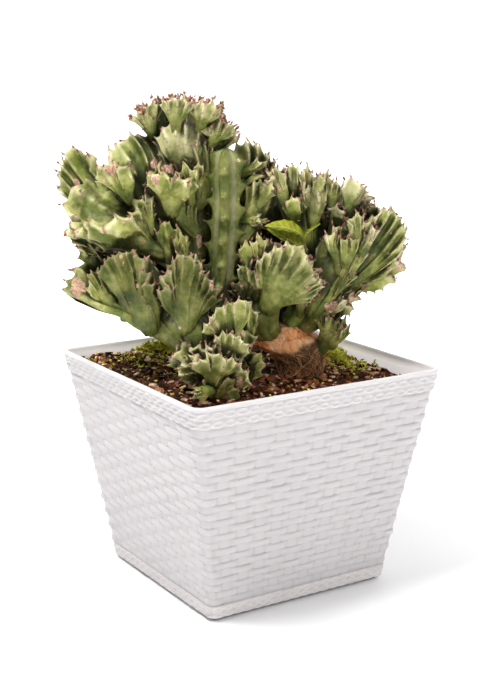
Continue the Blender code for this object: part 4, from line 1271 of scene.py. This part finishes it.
def braid(low, high, loops, thick):
    """A band of two rows of twisted cord.

    In a row, two cords cross as plus and minus a sine of the turn, and each
    stands highest where it passes over. A cord's section is a bell curve.
    """
    turn = np.linspace(0, 4, 4 * loops * PER_CROSSING, endpoint=False)
    t, v = np.meshgrid(turn, np.linspace(0, 1, BRAID_ROWS))
    which = (v > 0.5).astype(float)
    beat = np.pi * (t * loops + which)
    cords = []
    for sign in (1, -1):
        place = 0.5 + sign * 0.31 * np.sin(beat)
        cords.append(np.exp(-(((v * 2 - which - place) / 0.15) ** 2)) * (0.92 + sign * 0.08 * np.cos(beat)))
    relief = thick * np.maximum(*cords)
    front = wall_points(t, 0 * t, low + (high - low) * v, relief + 0.1)
    behind_turn, behind_height = np.meshgrid(turn, [high - 0.2, low + 0.2])
    behind = wall_points(behind_turn, 0 * behind_turn + 0.8, behind_height)
    points = np.concatenate([front, behind]).reshape(-1, 3)
    growth = np.zeros((len(points), 3))
    # How deep the braid's hollows are, which gets painted shade.
    growth[: relief.size, 0] = np.clip(0.5 - relief / thick, 0, 1).ravel()
    return points, ring_faces(BRAID_ROWS + 2, len(turn), wrap_rows=True), growth, PLAIN


# %% [markdown]
# ## White plastic with dust and painted shadow in the weave
# The plastic is a warm white, mottled and specked. The strips' lower edges and
# their ends are painted darker: partly dust that has settled there, partly
# painted shadow under each strip. So the shader works out where a point is in
# the weave, by the same sums as the relief: its row, and how far it is from the
# nearest stake that its row's strip passes over. An even layer of noise would
# be simpler, but dust and shade both keep to the hollows.

# %% Pot finish
# Near black for the undercut under the foot: painted shadow.
UNDERCUT_SHADOW = (0.01, 0.01, 0.01)
plastic = Finish("pot_plastic", Roughness=0.42, Emission_Strength=1.0)
groove, inside, under = plastic.painted("growth")
mottle = plastic.noise(30.0, 4.0, 0.6)
stretch = plastic.node("ShaderNodeMapping", {}, {"Vector": plastic.place(), "Scale": (1.0, 1.0, 0.12)})
grain = plastic.noise(430.0, 2.0, 0.5, where=stretch.outputs[0])
specks = (1 - plastic.cells(95.0).step(0.028, 0.06)) * mottle.step(0.5, 0.62)
white = plastic.blend((0.63, 0.603, 0.61), (0.7, 0.673, 0.68), mottle)
# Recesses of the weave and hollows of the braids turn greyer: painted shade, with a little dirt.
white = plastic.blend(white, (0.55, 0.52, 0.52), (groove * (0.3 + mottle * 0.4)).held())
white = plastic.blend(white, (0.3, 0.25, 0.22), specks * 0.8)

# %% Dust and painted shadow in the weave
place = plastic.node("ShaderNodeSeparateXYZ", {}, {0: plastic.place()})
x, y, z = (Number(plastic, place.outputs[k]) / MM for k in range(3))
half = z * ((WALL_TOP - WALL_FOOT) / POT_HEIGHT) + WALL_FOOT
corner = z * ((CORNER_TOP - CORNER_FOOT) / POT_HEIGHT) + CORNER_FOOT
side_length = half * 2 + corner * (np.pi / 2 - 2)
sideways = x.math("ABSOLUTE").math("MINIMUM", y.math("ABSOLUTE")) / side_length + 0.5
level = (z - WEAVE_LOW) * (WEAVE_ROWS / (WEAVE_HIGH - WEAVE_LOW))
row = level.math("FLOOR")
across = level - row
beat = (sideways * STAKES + row) * 0.5
offset = (beat - beat.math("ROUND")).math("ABSOLUTE") * 2
woven = level.step(-0.01, 0.0) * (1 - level.step(WEAVE_ROWS, WEAVE_ROWS + 0.01)) * (1 - inside)
on_strip = 1 - offset.step(0.72, 0.8)
strip_end = offset.step(0.5, 0.66) * on_strip
lower_edge = (1 - across.step(0.02, 0.15)) * on_strip * (strip_end * 0.85 + 0.1)
upper_dot = across.step(0.82, 0.93) * strip_end * offset.step(0.6, 0.68)
patchy = plastic.noise(150.0, 3.0, 0.6).step(0.44, 0.64)
# Painted shadow under each strip's lower edge, with real dust there and at the strips' ends.
dust_and_shadow = ((lower_edge * 0.9 + upper_dot * 0.5 + strip_end * 0.06) * (patchy * 0.85 + 0.15) * woven).held()
white = plastic.blend(white, (0.2, 0.14, 0.1), dust_and_shadow * 0.65)

# %% Bands of the pot
above_weave = z.step(185.5, 187.0)
rim_groove = above_weave * (1 - z.step(203.0, 204.0)) * (groove * 1.6 - 0.1) * 0.3
in_foot = 1 - z.step(14.6, 15.4)
foot_dirt = in_foot * (groove * 1.6 - 0.1 + (patchy - 0.5) * 0.3)
# The rim band above the weave is painted lighter: painted light.
white = plastic.blend(white, (0.8, 0.775, 0.78), above_weave * 0.85)
# The hollows of the rim braid are painted darker: painted shade, with some dirt.
white = plastic.blend(white, (0.45, 0.38, 0.35), rim_groove.held())
# The foot band is painted lighter: its own cream tint, and painted light against the shade near the floor.
white = plastic.blend(white, (0.88, 0.84, 0.83), in_foot * 0.9)
white = plastic.blend(white, (0.42, 0.34, 0.27), (foot_dirt * 0.3).held())
# The undercut under the foot is painted near black: painted shadow.
plastic.colour(plastic.blend(white, UNDERCUT_SHADOW, under))
raised_strip = (1 - offset.step(0.6, 0.74)) * across.step(0.0, 0.22) * (1 - across.step(0.84, 1.0)) * woven
# The inner wall glows: painted light for the light that comes through the thin plastic and bounces round
# inside.
plastic.glow(plastic.blend(PLAIN, (0.49, 0.47, 0.465), inside))
plastic.gloss((0.34 + mottle * 0.16 + groove * 0.2).held())
plastic.bump(raised_strip + grain * 0.35 + mottle * 0.4, 0.0008, 0.5)
build("pot_wall", pot_wall(), from_pot, plastic, ["pot"])
for name, plan in BRAIDS.items():
    build(name, braid(*plan), from_pot, plastic, ["pot"])
print("pot:", {name: triangles_made[name] for name in ("pot_wall", *BRAIDS)})

# %% [markdown]
# ## Soil
# The pot is filled with bark mix. Its top is a sheet of heights on a square
# grid with round corners: a slow swell, crumbs from three sizes of noise, and a
# drop at the wall. A skirt under its border and one flat face close it below.
# It could be a heap of loose bits all through, but only its top is seen.

# %% Soil surface
SOIL_LEVEL, SOIL_HALF, SOIL_CORNER, SOIL_UNDERSIDE = 191.0, 122.4, 8.0, 178.0
SOIL_STEPS = 141


def soil_top(x, y):
    """The CAD soil's height in mm: its level, a rise to the back, and sines that fade at the wall."""
    swell = np.sin(x / 31 + 0.6) * np.cos(y / 27 - 0.4) + 0.5 * np.sin((x + y) / 17)
    near_wall = np.maximum(np.abs(x), np.abs(y)) / SOIL_HALF
    return SOIL_LEVEL + 4 * y / 130 + 2.5 * swell * (1 - np.clip(near_wall, 0, 1) ** 4)


def crumbly_top(x, y):
    """The same with grains, which are 1 less twice the absolute noise, and fade by the wall."""
    flat = np.stack([x, y, x * 0], -1)
    grains = 2.4 * (1 - 2 * np.abs(rough(flat, 9.0, 0))) + 1.6 * (1 - 2 * np.abs(rough(flat + 40, 4.2, 1)))
    crumbs = grains + 0.8 * rough(flat, 2.1, 2)
    return soil_top(x, y) + crumbs * ease((SOIL_HALF - np.maximum(np.abs(x), np.abs(y))) / 4 + 0.3)


def soil_surface():
    """The sheet, its corners pulled in to a radius, with its skirt, and the corners of its underside."""
    n, side = SOIL_STEPS, np.linspace(-1, 1, SOIL_STEPS)
    grid = np.stack(np.meshgrid(side * SOIL_HALF, side * SOIL_HALF))
    middle = np.clip(grid, SOIL_CORNER - SOIL_HALF, SOIL_HALF - SOIL_CORNER)
    pull = np.minimum(1, SOIL_CORNER / np.maximum(np.hypot(*(grid - middle)), 1e-6))
    x, y = middle + (grid - middle) * pull
    z = crumbly_top(x, y)
    top = np.stack([x, y, z], -1).reshape(-1, 3)
    k = np.arange(1, n)
    border = np.concatenate([[0], k, n * (k + 1) - 1, n * n - 1 - k, n * (n - 1 - k[:-1])])
    lower = top[border] * (0.97, 0.97, 0) + (0, 0, SOIL_UNDERSIDE)
    points, m = np.vstack([top, lower]), len(border)
    k = np.arange(m)
    nxt = (k + 1) % m
    skirt = np.stack([border, n * n + k, n * n + nxt, border[nxt]], 1)
    growth = np.zeros((len(points), 3))
    # How high a point stands over the smooth soil; low places get painted shade.
    growth[: n * n, 0] = np.clip(0.5 + (z - soil_top(x, y)).ravel() / 7, 0, 1)
    growth[:, 1] = 0.25 + 0.25 * rough(points, 7.0, 3)
    faces = np.vstack([ring_faces(n, n, wrap_columns=False), skirt])
    return (points, faces, growth, PLAIN), (n * n + k)[::-1]


# %% Bark finish
BARKS = (
    (0.2, (0.008, 0.003, 0.001)), (0.4, (0.055, 0.018, 0.006)), (0.55, (0.19, 0.06, 0.026)),
    (0.7, (0.42, 0.18, 0.095)), (0.87, (0.92, 0.68, 0.46)))
bark = Finish("bark_mix", Roughness=0.75, Specular_IOR_Level=0.08)
raised, luck, mossy = bark.painted("growth")
mixture = bark.noise(260.0, 4.0, 0.65)
dust = bark.noise(45.0, 3.0, 0.6)
chip_colour = bark.ramp(luck * 0.85 + mixture * 0.35, *BARKS)
# Painted shade: low places between the crumbs turn near black.
chip_colour = bark.blend(chip_colour, (0.004, 0.002, 0.001), (1.35 - raised * 2.2).held())
bark.colour(bark.blend(chip_colour, (0.12, 0.13, 0.02), (mossy * mixture.step(0.45, 0.6)).held()))
bark.gloss((0.45 + mixture * 0.5).held())
bark.bump(mixture * 0.7 + dust * 0.3, 0.0012, 0.8)
soil, underside = soil_surface()
build("soil_surface", soil, from_pot, bark, ["soil"], extra=[underside])
print("soil surface:", triangles_made["soil_surface"], "triangles")

# %% [markdown]
# ## Loose chips
# Chips of bark lie on the soil. Each is a flat six-sided pebble, turned and
# sized at random, with only a few faces, because there are many. One chip could
# be copied, but with its corners moved at random each has its own outline.

# %% Loose chips
CHIPS, CHIP_CORNERS, LARGEST_CHIP = 2300, 6, 6.0


def scatter(count, seed, spread=118.0):
    """Random places on the soil in mm, and the dice that made them."""
    dice = np.random.default_rng(seed)
    return dice.uniform(-spread, spread, (count, 2)), dice


def turned(count, dice, lean):
    """Random turns: a heading round the vertical, then a lean of about that many radians."""
    spin, tip = dice.uniform(0, 2 * np.pi, count), dice.normal(0, lean, count)
    way = dice.uniform(0, 2 * np.pi, count)
    normal = np.stack([np.sin(tip) * np.cos(way), np.sin(tip) * np.sin(way), np.cos(tip)], -1)
    one = unit(np.cross(normal, np.stack([np.cos(spin), np.sin(spin), spin * 0], -1)))
    return one, np.cross(normal, one), normal


def pebbles(places, sizes, flatness, dice, lean=0.5):
    """Flat pebbles: two rings of six corners and a point above and below, stretched and jittered."""
    count, n = len(places), CHIP_CORNERS
    angle = np.arange(n) * np.pi / 3
    one, two, normal = turned(count, dice, lean)
    stretch = dice.uniform(0.45, 1.0, (count, 1))
    layers = []
    for lift, share in ((-0.55, 0.8), (0.45, 1.0)):
        radius = sizes[:, None] * share * (1 + 0.22 * dice.normal(size=(count, n)))
        x, y = radius * np.cos(angle), radius * np.sin(angle) * stretch
        flat = places[:, None] + x[..., None] * one[:, None] + y[..., None] * two[:, None]
        layers.append(flat + (lift * sizes * flatness)[:, None, None] * normal[:, None])
    for lift in (0.75, -0.9):
        layers.append((places + normal * (sizes * flatness * lift)[:, None])[:, None])
    k = np.arange(n)
    nxt = (k + 1) % n
    band = np.stack([k, nxt, nxt + n, k + n], 1)
    pattern = np.vstack([band, to_pole(k + n, nxt + n, 2 * n), to_pole(nxt, k, 2 * n + 1)])
    return np.concatenate(layers, 1).reshape(-1, 3), copies(pattern, count, 2 * n + 2)


def on_soil(xy, lift):
    """Those places at the height of the crumbly soil, plus a lift."""
    return np.column_stack([xy, crumbly_top(*xy.T) + lift])


def each_painted(first, luck, corners):
    """Growth of many small shapes: the same first number, and a luck of its own for each."""
    return np.repeat(np.column_stack([np.full(len(luck), first), luck, np.zeros(len(luck))]), corners, 0)


xy, dice = scatter(CHIPS, 5)
sizes = np.minimum(np.abs(dice.normal(0, 1.5, CHIPS)) + 1.5, LARGEST_CHIP)
points, faces = pebbles(on_soil(xy, sizes * 0.12), sizes, 0.38, dice)
chips = points, faces, each_painted(0.8, dice.beta(1.6, 2.2, CHIPS), 2 * CHIP_CORNERS + 2), PLAIN
build("bark_chips", chips, from_pot, bark, smooth=False)
print("soil and", CHIPS, "chips")

# %% [markdown]
# ## Moss
# Cushions of moss grow against the two back walls, and single leaflets have
# come up all over. A cushion is a low dome with a rough top. A leaflet is a
# folded diamond of four triangles, doubled so that it has a back. Fur could
# make moss too, but it has no faces to export.

# %% Moss finish
MOSSES = (
    (0.22, (0.11, 0.09, 0.008)), (0.36, (0.32, 0.31, 0.012)),
    (0.48, (0.66, 0.64, 0.02)), (0.66, (0.95, 0.9, 0.12)))
moss = Finish("moss", Roughness=0.8)
light, luck, _ = moss.painted("growth")
leafy = moss.ramp(moss.noise(150.0, 3.0, 0.6) * 0.6 + luck * 0.4, *MOSSES)
# Painted shade: where the light number is low, in a cushion's dips, the moss turns dark.
moss.colour(moss.blend(leafy, (0.03, 0.017, 0.006), (1.1 - light * 1.5).held()))
moss.bump(moss.noise(900.0, 2.0), 0.0008, 0.7)
print("moss finish:", len(moss.tree.nodes), "nodes")

# %% Moss cushions
# The middle's x and y, the reach in x and in y, and the rise, in mm.
MOUNDS = {"moss_right": (105, 16, 15, 34, 10), "moss_left": (-34, 108, 30, 12, 13)}
MOUND_RINGS, MOUND_SIDES, MOUND_LEAVES = 16, 64, 420
WALL_LIMIT, LEAF_LIMIT = 121.5, 119


def dome(x0, y0, half_x, half_y, rise):
    """A cushion. Its height is rise times the square root of 1 less the way out squared, and some noise."""
    r = np.linspace(0.04, 1, MOUND_RINGS)[:, None]
    a = full_turn(MOUND_SIDES)[None]
    x = np.clip(x0 + half_x * r * np.cos(a), -WALL_LIMIT, WALL_LIMIT)
    y = np.clip(y0 + half_y * r * np.sin(a), -WALL_LIMIT, WALL_LIMIT)
    z = SOIL_LEVEL + rise * np.sqrt(np.maximum(1 - r**2, 0)) + a * 0
    flat = np.stack([x, y, z], -1)
    lumps = rough(flat, 5.0, 1) * 1.8 + rough(flat, 2.4, 2) * 0.9
    z = z + lumps * (1 - r**4) - 4 * r**6
    points, faces = closed_rings(np.stack([x, y, z], -1), (x0, y0, z[0].mean()), (x0, y0, SOIL_LEVEL - 6))
    # Low places of a cushion get a low light number: painted shade.
    light = np.concatenate([np.clip(0.55 + lumps.ravel() * 0.2, 0, 1), [0.6, 0]])
    return points, outwards(points, faces), np.column_stack([light, 0.5 + 0 * light, 0 * light]), PLAIN


# %% Leaflets
LEAFLET_CORNERS, SOIL_LEAFLETS = 6, 4400
# Where leaflets are close: how close, the middle's x and y, and the reach in x and in y.
CLOSE = [(2.2, 97, -8, 24, 42), (0.7, -62, 80, 32, 40)]
LEAFLET_FACES = [
    (0, 4, 1, 1), (1, 4, 2, 2), (2, 4, 3, 3), (3, 4, 0, 0),
    (0, 1, 5, 5), (1, 2, 5, 5), (2, 3, 5, 5), (3, 0, 5, 5)]


def leaflets(places, sizes, dice, lean=0.7):
    """Small leaves: a diamond folded on its midrib, with an underside."""
    one, two, normal = turned(len(places), dice, lean)
    s = sizes[:, None]
    middle = places + one * s
    left, right_side = (middle + side * two * s * 0.7 + normal * s * 0.7 for side in (1, -1))
    tip = places + one * s * 2 + normal * s * 0.5
    corners = [places, left, tip, right_side, middle + normal * s * 0.35, middle + normal * s * 0.2]
    points = np.stack(corners, 1).reshape(-1, 3)
    return points, copies(np.array(LEAFLET_FACES), len(places), LEAFLET_CORNERS)


for name, mound in MOUNDS.items():
    x0, y0, half_x, half_y, rise = mound
    dice = np.random.default_rng(len(name))
    angle, r = dice.uniform(0, 2 * np.pi, MOUND_LEAVES), np.sqrt(dice.uniform(0, 1, MOUND_LEAVES)) * 0.98
    x, y = x0 + half_x * r * np.cos(angle), y0 + half_y * r * np.sin(angle)
    z = SOIL_LEVEL + rise * np.sqrt(1 - r**2) - 4 * r**6 + 0.5
    places = np.column_stack([x, y, z])[np.maximum(np.abs(x), np.abs(y)) < LEAF_LIMIT]
    points, faces = leaflets(places, dice.uniform(1.0, 2.5, len(places)), dice)
    leaves = points, faces, each_painted(0.9, dice.random(len(places)), LEAFLET_CORNERS), PLAIN
    build(name + "_cushion", merge([dome(*mound), leaves]), from_pot, moss, [name])

xy, dice = scatter(SOIL_LEAFLETS, 23)
closeness = 0.06
for share, x0, y0, reach_x, reach_y in CLOSE:
    away = ((xy[:, 0] - x0) / reach_x) ** 2 + ((xy[:, 1] - y0) / reach_y) ** 2
    closeness = closeness + share * np.exp(-away)
xy = xy[dice.random(len(xy)) < closeness]
points, faces = leaflets(on_soil(xy, 0.8), dice.uniform(1.2, 2.9, len(xy)), dice, 0.5)
leaves = points, faces, each_painted(0.9, dice.beta(2, 1.4, len(xy)), LEAFLET_CORNERS), PLAIN
build("soil_leaflets", leaves, from_pot, moss)
print("moss:", len(xy), "leaflets on the soil")

# %% [markdown]
# ## Stems
# The upright stem is a column with four wings. Between two wings its face is
# hollow, with a pale stripe in the middle. The wings' edges are scalloped: a
# row of round bites leaves hooked teeth, each with two spines. The trunks of
# the crests are the same plant, but knobbly and dark, with little of the pale
# stripe. Each stem is also painted darker all over: painted shade, most on the
# column and the left trunk. A profile drawn along a curve could make the wings,
# but the bites need a radius that changes on the way.

# %% Stems
STEM_STEP, PER_WING = 1.5, 24
STEMS = {
    "column_stem": dict(
        line=[(-24, -24, 174, 14), (-26, -25, 239, 17), (-20, -26, 303, 20), (-17, -26, 345, 20.5),
              (-17, -25, 380, 20.5), (-17, -25, 402, 20)],
        wings=4, first=-np.pi / 2 - 0.15, wing_depth=0.6, sharp=1.5, bite=0.46, bite_step=20.5,
        bites_at=(3, 13, 8, 0), stripe=1.0, seed=1, dim=0.6, round_top=13.0),
    "left_stem": dict(
        line=[(-14, 8, 172, 12), (-18, 6, 219, 12), (-31, 6, 261, 11), (-38, 3, 308, 10), (-45, 0, 345, 9),
              (-50, 2, 368, 8)],
        wings=5, first=0.4, wing_depth=0.22, sharp=1.2, bite=0.12, bite_step=14,
        bites_at=(0, 4, 9, 2, 7), stripe=0.1, seed=2, dim=0.55),
    "right_stem": dict(
        line=[(42, 0, 238, 13), (57, 0, 261, 15), (67, 0, 289, 14), (71, 2, 310, 11)],
        wings=5, first=-1.7, wing_depth=0.2, sharp=1.2, bite=0.1, bite_step=14,
        bites_at=(0, 4, 9, 2, 7), stripe=0.2, seed=3, dim=0.2),
}


def stem_bends(path, run, angle, seed):
    """A few per cent by which a stem is thicker or thinner: noise along its line, and noise round it."""
    round_it = np.stack(np.broadcast_arrays(run * 0.05, np.cos(angle)[None], np.sin(angle)[None]), -1)
    return rough(path[:, :3], 22.0, seed)[:, None] * 0.03 + rough(round_it, 0.7, seed) * 0.04


def stem_spines(ring, path, heading, phase, columns, dice):
    """Two spines at each tooth, where a bite ends and the next begins, leaning apart."""
    feet, ways = [], []
    for column in columns:
        at = np.nonzero((phase[:-1, column] > 0.7) & (phase[1:, column] < 0.3))[0]
        outward = unit(ring[at, column] - path[at, :3])
        for lean in (-1, 1):
            feet.append(ring[at, column] - outward * 0.6)
            ways.append(outward + heading[at] * 0.35 + unit(np.cross(heading[at], outward)) * lean * 0.5)
    feet, ways = np.vstack(feet), np.vstack(ways)
    return cones(feet, ways, 2.2 + 1.4 * dice.random(len(feet)), 0.5 + 0.3 * dice.random(len(feet)))


def stem(line, wings, first, wing_depth, sharp, bite, bite_step, bites_at, stripe, seed, dim, round_top=5.0):
    """A tube whose radius depends on the angle and the run along it.

    The radius is the line's own times 1 less wing_depth times (1 less wing),
    with wing falling from 1 on a ridge to 0 in the valley's middle, to a power.
    Between two teeth a bite takes off its share of the ridge, by a sine to a
    power, and the top is a dome.
    """
    dice = np.random.default_rng(seed + 90)
    _, length = through(line, 60)
    rows, columns = int(length / STEM_STEP), PER_WING * wings
    path, _ = through(line, rows)
    angle = full_turn(columns)
    heading = unit(np.gradient(path[:, :3], axis=0))
    sideways = np.array([1.0, 0, 0])
    side = unit(sideways - (heading @ sideways)[:, None] * heading)
    run = np.linspace(0, length, rows)[:, None]
    wing_place = (angle - first) * wings / (2 * np.pi)
    wing = (1 - np.abs(wing_place - np.round(wing_place))[None] * 2) ** sharp
    number = np.round(wing_place).astype(int) % wings
    phase = (((run - np.asarray(bites_at)[number][None]) / bite_step) % 1.0) ** 0.55
    notch = np.sin(np.pi * phase) ** 0.75
    radius = path[:, 3:4] * (1 - wing_depth * (1 - wing) - bite * notch * wing**2)
    left = np.minimum(length - run + 0.5, round_top) / round_top
    radius = radius * np.sqrt(np.clip(1 - (1 - left) ** 2, 0, 1)) * (1 + stem_bends(path, run, angle, seed))
    ring = path[:, None, :3] + radius[..., None] * spokes(angle, side, np.cross(heading, side))
    points, faces = closed_rings(ring, path[0, :3] - heading[0] * 2, path[-1, :3] + heading[-1] * 0.6)
    growth, marks = np.zeros((len(points), 3)), np.zeros((len(points), 3))
    valley = 1 - np.abs(np.cos(wings / 2 * (angle - first)))[None]
    feather = valley + 0.12 * np.sin(run * 0.62) * np.sin(angle)[None]
    growth[:-2, 2] = (0.02 + stripe * ease((feather - 0.25) / 0.3)).ravel()
    growth[:-2, 1] = (0.45 * ease((wing - 0.93) / 0.07) + 0 * run).ravel()
    growth[-2:, 2] = 0.3
    # Painted shade, the same all over the stem.
    marks[:, 2] = dim
    ridge_angles = first + 2 * np.pi * np.arange(wings) / wings
    ridges = np.round(ridge_angles * columns / (2 * np.pi)).astype(int) % columns
    spikes = stem_spines(ring, path, heading, phase, ridges, dice)
    return merge([(points, faces, growth, marks), (*spikes, (0.5, 1.0, 0.4), SPINE_MARKS)])


for name, plan in STEMS.items():
    build(name + "_skin", shaded(stem(**plan)), from_plant, skin, [name])
print(len(STEMS), "stems")

# %% [markdown]
# ## The woody foot
# Below the right-hand crests the old stem has turned to cork. Orange and tan
# plates cover it, and the ball of roots under it stands clear of the soil, dark
# and felted, with pale dry roots across it. It is a lofted lump with noise, and
# each root is a thin tube along a smooth line on its surface. It could be
# sculpted, but noise at three sizes gives the same folds at once.

# %% Cork finish
CORKS = (
    (0.3, (0.3, 0.07, 0.018)), (0.4, (0.78, 0.27, 0.085)), (0.52, (1.0, 0.5, 0.22)), (0.72, (1.0, 0.82, 0.6)))
FELTS = (0.35, (0.018, 0.009, 0.003)), (0.5, (0.12, 0.055, 0.018)), (0.65, (0.42, 0.25, 0.095))
cork = Finish("corky_wood", Roughness=0.8)
ball, root, _ = cork.painted("growth")
plates = cork.noise(120.0, 5.0, 0.65, distortion=0.8)
fibres = cork.noise(420.0, 3.0, 0.6)
felt = cork.ramp(fibres * 0.5 + plates * 0.5, *FELTS)
dry = cork.ramp(fibres, (0.3, (0.05, 0.022, 0.008)), (0.7, (0.42, 0.26, 0.12)))
cracks = 1 - (cork.noise(75.0, 4.0, 0.6, distortion=1.5) - 0.5).math("ABSOLUTE").step(0.006, 0.03)
tan_cork = cork.blend(cork.ramp(plates, *CORKS), (0.12, 0.035, 0.012), cracks * 0.3)
cork.colour(cork.blend(cork.blend(tan_cork, felt, ball), dry, root))
cork.bump(plates * 0.7 + fibres * 0.4, 0.0018, 0.9)
print("cork finish:", len(cork.tree.nodes), "nodes")

# %% Woody foot and roots
# The lump's middle in x, y and z, and its reach in x and in y, from below up.
WOODY = [
    (52, 3, 170, 14, 12), (52, 2, 188, 19, 17), (52, -1, 202, 21, 19), (49, -2, 212, 25, 21),
    (39, -2, 221, 33, 21), (35, -2, 230, 30, 17), (36, -1, 238, 18, 12)]
LUMP_ROWS, LUMP_COLUMNS, ROOTS, ROOT_POINTS = 58, 96, 90, 6
TUBE_STEP = 1.6


def lump(profile):
    """Ovals up a line, with three sizes of noise that push the surface in and out."""
    path, _ = through(np.array(profile, float), LUMP_ROWS)
    angle = full_turn(LUMP_COLUMNS)

    def oval(push):
        """The rings, with their reach times 1 plus the push."""
        x = path[:, 0:1] + path[:, 3:4] * np.cos(angle) * (1 + push)
        y = path[:, 1:2] + path[:, 4:5] * np.sin(angle) * (1 + push)
        return np.stack([x, y, path[:, 2:3] + 0 * x], -1)

    where = oval(0)
    ring = oval(0.1 * rough(where, 17.0, 0) + 0.06 * rough(where, 7.0, 1) + 0.03 * rough(where, 2.6, 2))
    points, faces = closed_rings(ring, path[0, :3] - (0, 0, 1), path[-1, :3] + (0, 0, 2))
    above_ball = ring[..., 2] - 213 - 0.35 * (ring[..., 0] - 38) - 8 * rough(where, 11.0, 3)
    ball = np.concatenate([(1 - ease(above_ball / 7)).ravel(), [1, 0]])
    return (points, faces, np.column_stack([ball, 0 * ball, 0 * ball]), PLAIN), ring


def tube(line, radius, sides=6):
    """A round tube along a smooth line, tapered as a power of a sine and closed by a point at each end."""
    path, _ = through(line, max(8, int(bends(line) / TUBE_STEP)))
    heading = unit(np.gradient(path, axis=0))
    side = unit(np.cross(heading, np.array([0.3, 0.2, 1.0])))
    taper = np.sin(np.linspace(0.25, np.pi - 0.25, len(path)))[:, None, None] ** 0.4
    ring = path[:, None] + radius * taper * spokes(full_turn(sides), side, np.cross(side, heading))
    points, faces = closed_rings(ring, path[0], path[-1])
    return points, outwards(points, faces)


woody, ring = lump(WOODY)
parts = [woody]
dice = np.random.default_rng(77)
for _ in range(ROOTS):
    at = dice.uniform(0, LUMP_COLUMNS)
    rows_at = np.linspace(dice.uniform(0.4, 0.82), dice.uniform(0.1, 0.35), ROOT_POINTS) * LUMP_ROWS
    drift = np.cumsum(dice.normal(0, 3.5, ROOT_POINTS))
    picked = ring[rows_at.astype(int), (at + drift).astype(int) % LUMP_COLUMNS]
    centre = picked * (0, 0, 1) + (50, 0, 0)
    line = picked + unit(picked - centre) * dice.uniform(0.2, 1.6, (ROOT_POINTS, 1))
    parts.append((*tube(line, dice.uniform(0.15, 0.42), sides=4), (0.0, dice.uniform(0.2, 0.9), 0.0), PLAIN))
build("woody_foot", merge(parts), from_plant, cork, ["woody_base"])
print("woody foot and", ROOTS, "roots")

# %% [markdown]
# ## The seedling
# A small broad-leaved seedling has come up between the crests. Its leaves are
# thin and lime green, folded up a little on the midrib, with paler veins. A
# leaf could be one flat plane, but it would have no edge, so each is closed.

# %% Leaf finish
LIMES = (0.3, (0.08, 0.1, 0.002)), (0.6, (0.16, 0.18, 0.003)), (0.9, (0.31, 0.32, 0.015))
lime = Finish("leaf", Roughness=0.42, Specular_IOR_Level=0.25)
vein, shade, _ = lime.painted("growth")
tint = lime.noise(90.0, 3.0, 0.5)
# Painted light: the second number lightens one half of each leaf.
lime.colour(lime.blend(lime.ramp(tint + shade * 0.35, *LIMES), (0.6, 0.66, 0.2), vein * 0.7))
lime.bump(tint + vein * 0.6, 0.0006, 0.5)
print("leaf finish:", len(lime.tree.nodes), "nodes")

# %% Seedling
LEAF_ROWS, LEAF_COLUMNS, LEAF_THICK = 40, 21, 0.7
LEAVES = {
    "seedling_leaf_large": dict(
        base=(52, -32, 323), tip=(17, -38, 335), half_width=8.5, droop=5, fold=0.35, roll=0.5),
    "seedling_leaf_low": dict(
        base=(54.5, -27, 310), tip=(19, -41, 333), half_width=7.5, droop=2, fold=0.3, roll=0.8),
    "seedling_leaf_small": dict(
        base=(52.2, -31.8, 322), tip=(66, -39, 337), half_width=3.5, droop=1.5, fold=0.4, roll=-0.4),
}
STALKS = [
    ([(60, -2, 293), (57, -18, 301), (54, -28, 312), (52, -32, 325)], 1.1),
    ([(57, -17, 300), (55, -24, 305), (54.3, -28, 311)], 0.8),
]


def blade(base, tip, half_width, droop, fold, roll):
    """A leaf: along its midrib u and across w from -1 to 1.

    The half width is a sine of u, and the fold lifts each side by its distance
    from the midrib. Veins are bell curves of w, on the midrib and on branches.
    """
    base, tip = np.array(base, float), np.array(tip, float)
    u = np.linspace(0, 1, LEAF_ROWS)[:, None]
    w = np.linspace(-1, 1, LEAF_COLUMNS)[None]
    way = unit(tip - base)
    side = unit(np.cross(way, np.array([0, 0, 1.0])))
    rise = np.cross(side, way)
    side, rise = side * math.cos(roll) + rise * math.sin(roll), rise * math.cos(roll) - side * math.sin(roll)
    if rise[2] < 0:
        rise = -rise
    width = half_width * np.sin(np.pi * u**0.85) ** 0.8 + 0.35
    midline = base + (tip - base) * u[..., None] + rise * (droop * np.sin(np.pi * u**0.7))[..., None]
    ripple = 0.5 * np.sin(u * 30 + np.abs(w) * 3) * np.abs(w) * np.sin(np.pi * u)
    sheet = midline + side * (w * width)[..., None] + rise * (fold * np.abs(w) * width + ripple)[..., None]
    over, below = sheet + rise * LEAF_THICK / 2, sheet - rise * LEAF_THICK / 2
    ring = np.concatenate([over, below[:, ::-1]], 1)
    points, faces = closed_rings(ring, midline[0, 0] - way * 0.4, midline[-1, 0] + way * 0.4)
    midrib = np.exp(-((w / 0.09) ** 2)) + 0 * u
    branch = np.exp(-(((np.abs(w) - (u * 7 % 1.0)) / 0.12) ** 2)) * 0.5
    veins = np.clip(np.maximum(midrib, branch), 0, 1)
    one_side = (w > 0) + 0 * u
    growth = np.zeros((len(points), 3))
    growth[:-2, 0] = np.concatenate([veins, veins[:, ::-1]], 1).ravel()
    # One half of each leaf, where w is above 0, is painted lighter: painted light.
    growth[:-2, 1] = np.concatenate([one_side, one_side[:, ::-1]], 1).ravel()
    return points, outwards(points, faces), growth, PLAIN


for name, plan in LEAVES.items():
    build(name + "_blade", blade(**plan), from_plant, lime, [name])
stalks = merge([(*tube(line, radius), (0.2, 0.4, 0.0), PLAIN) for line, radius in STALKS])
build("seedling_stalks", stalks, from_plant, lime, ["seedling_stem"])
print("seedling:", len(LEAVES), "leaves and", len(STALKS), "stalks")

# %% [markdown]
# ## Finish
# The last cell prints how many triangles were made in all.

# %% Triangle count
print("triangles in all:", sum(triangles_made.values()))
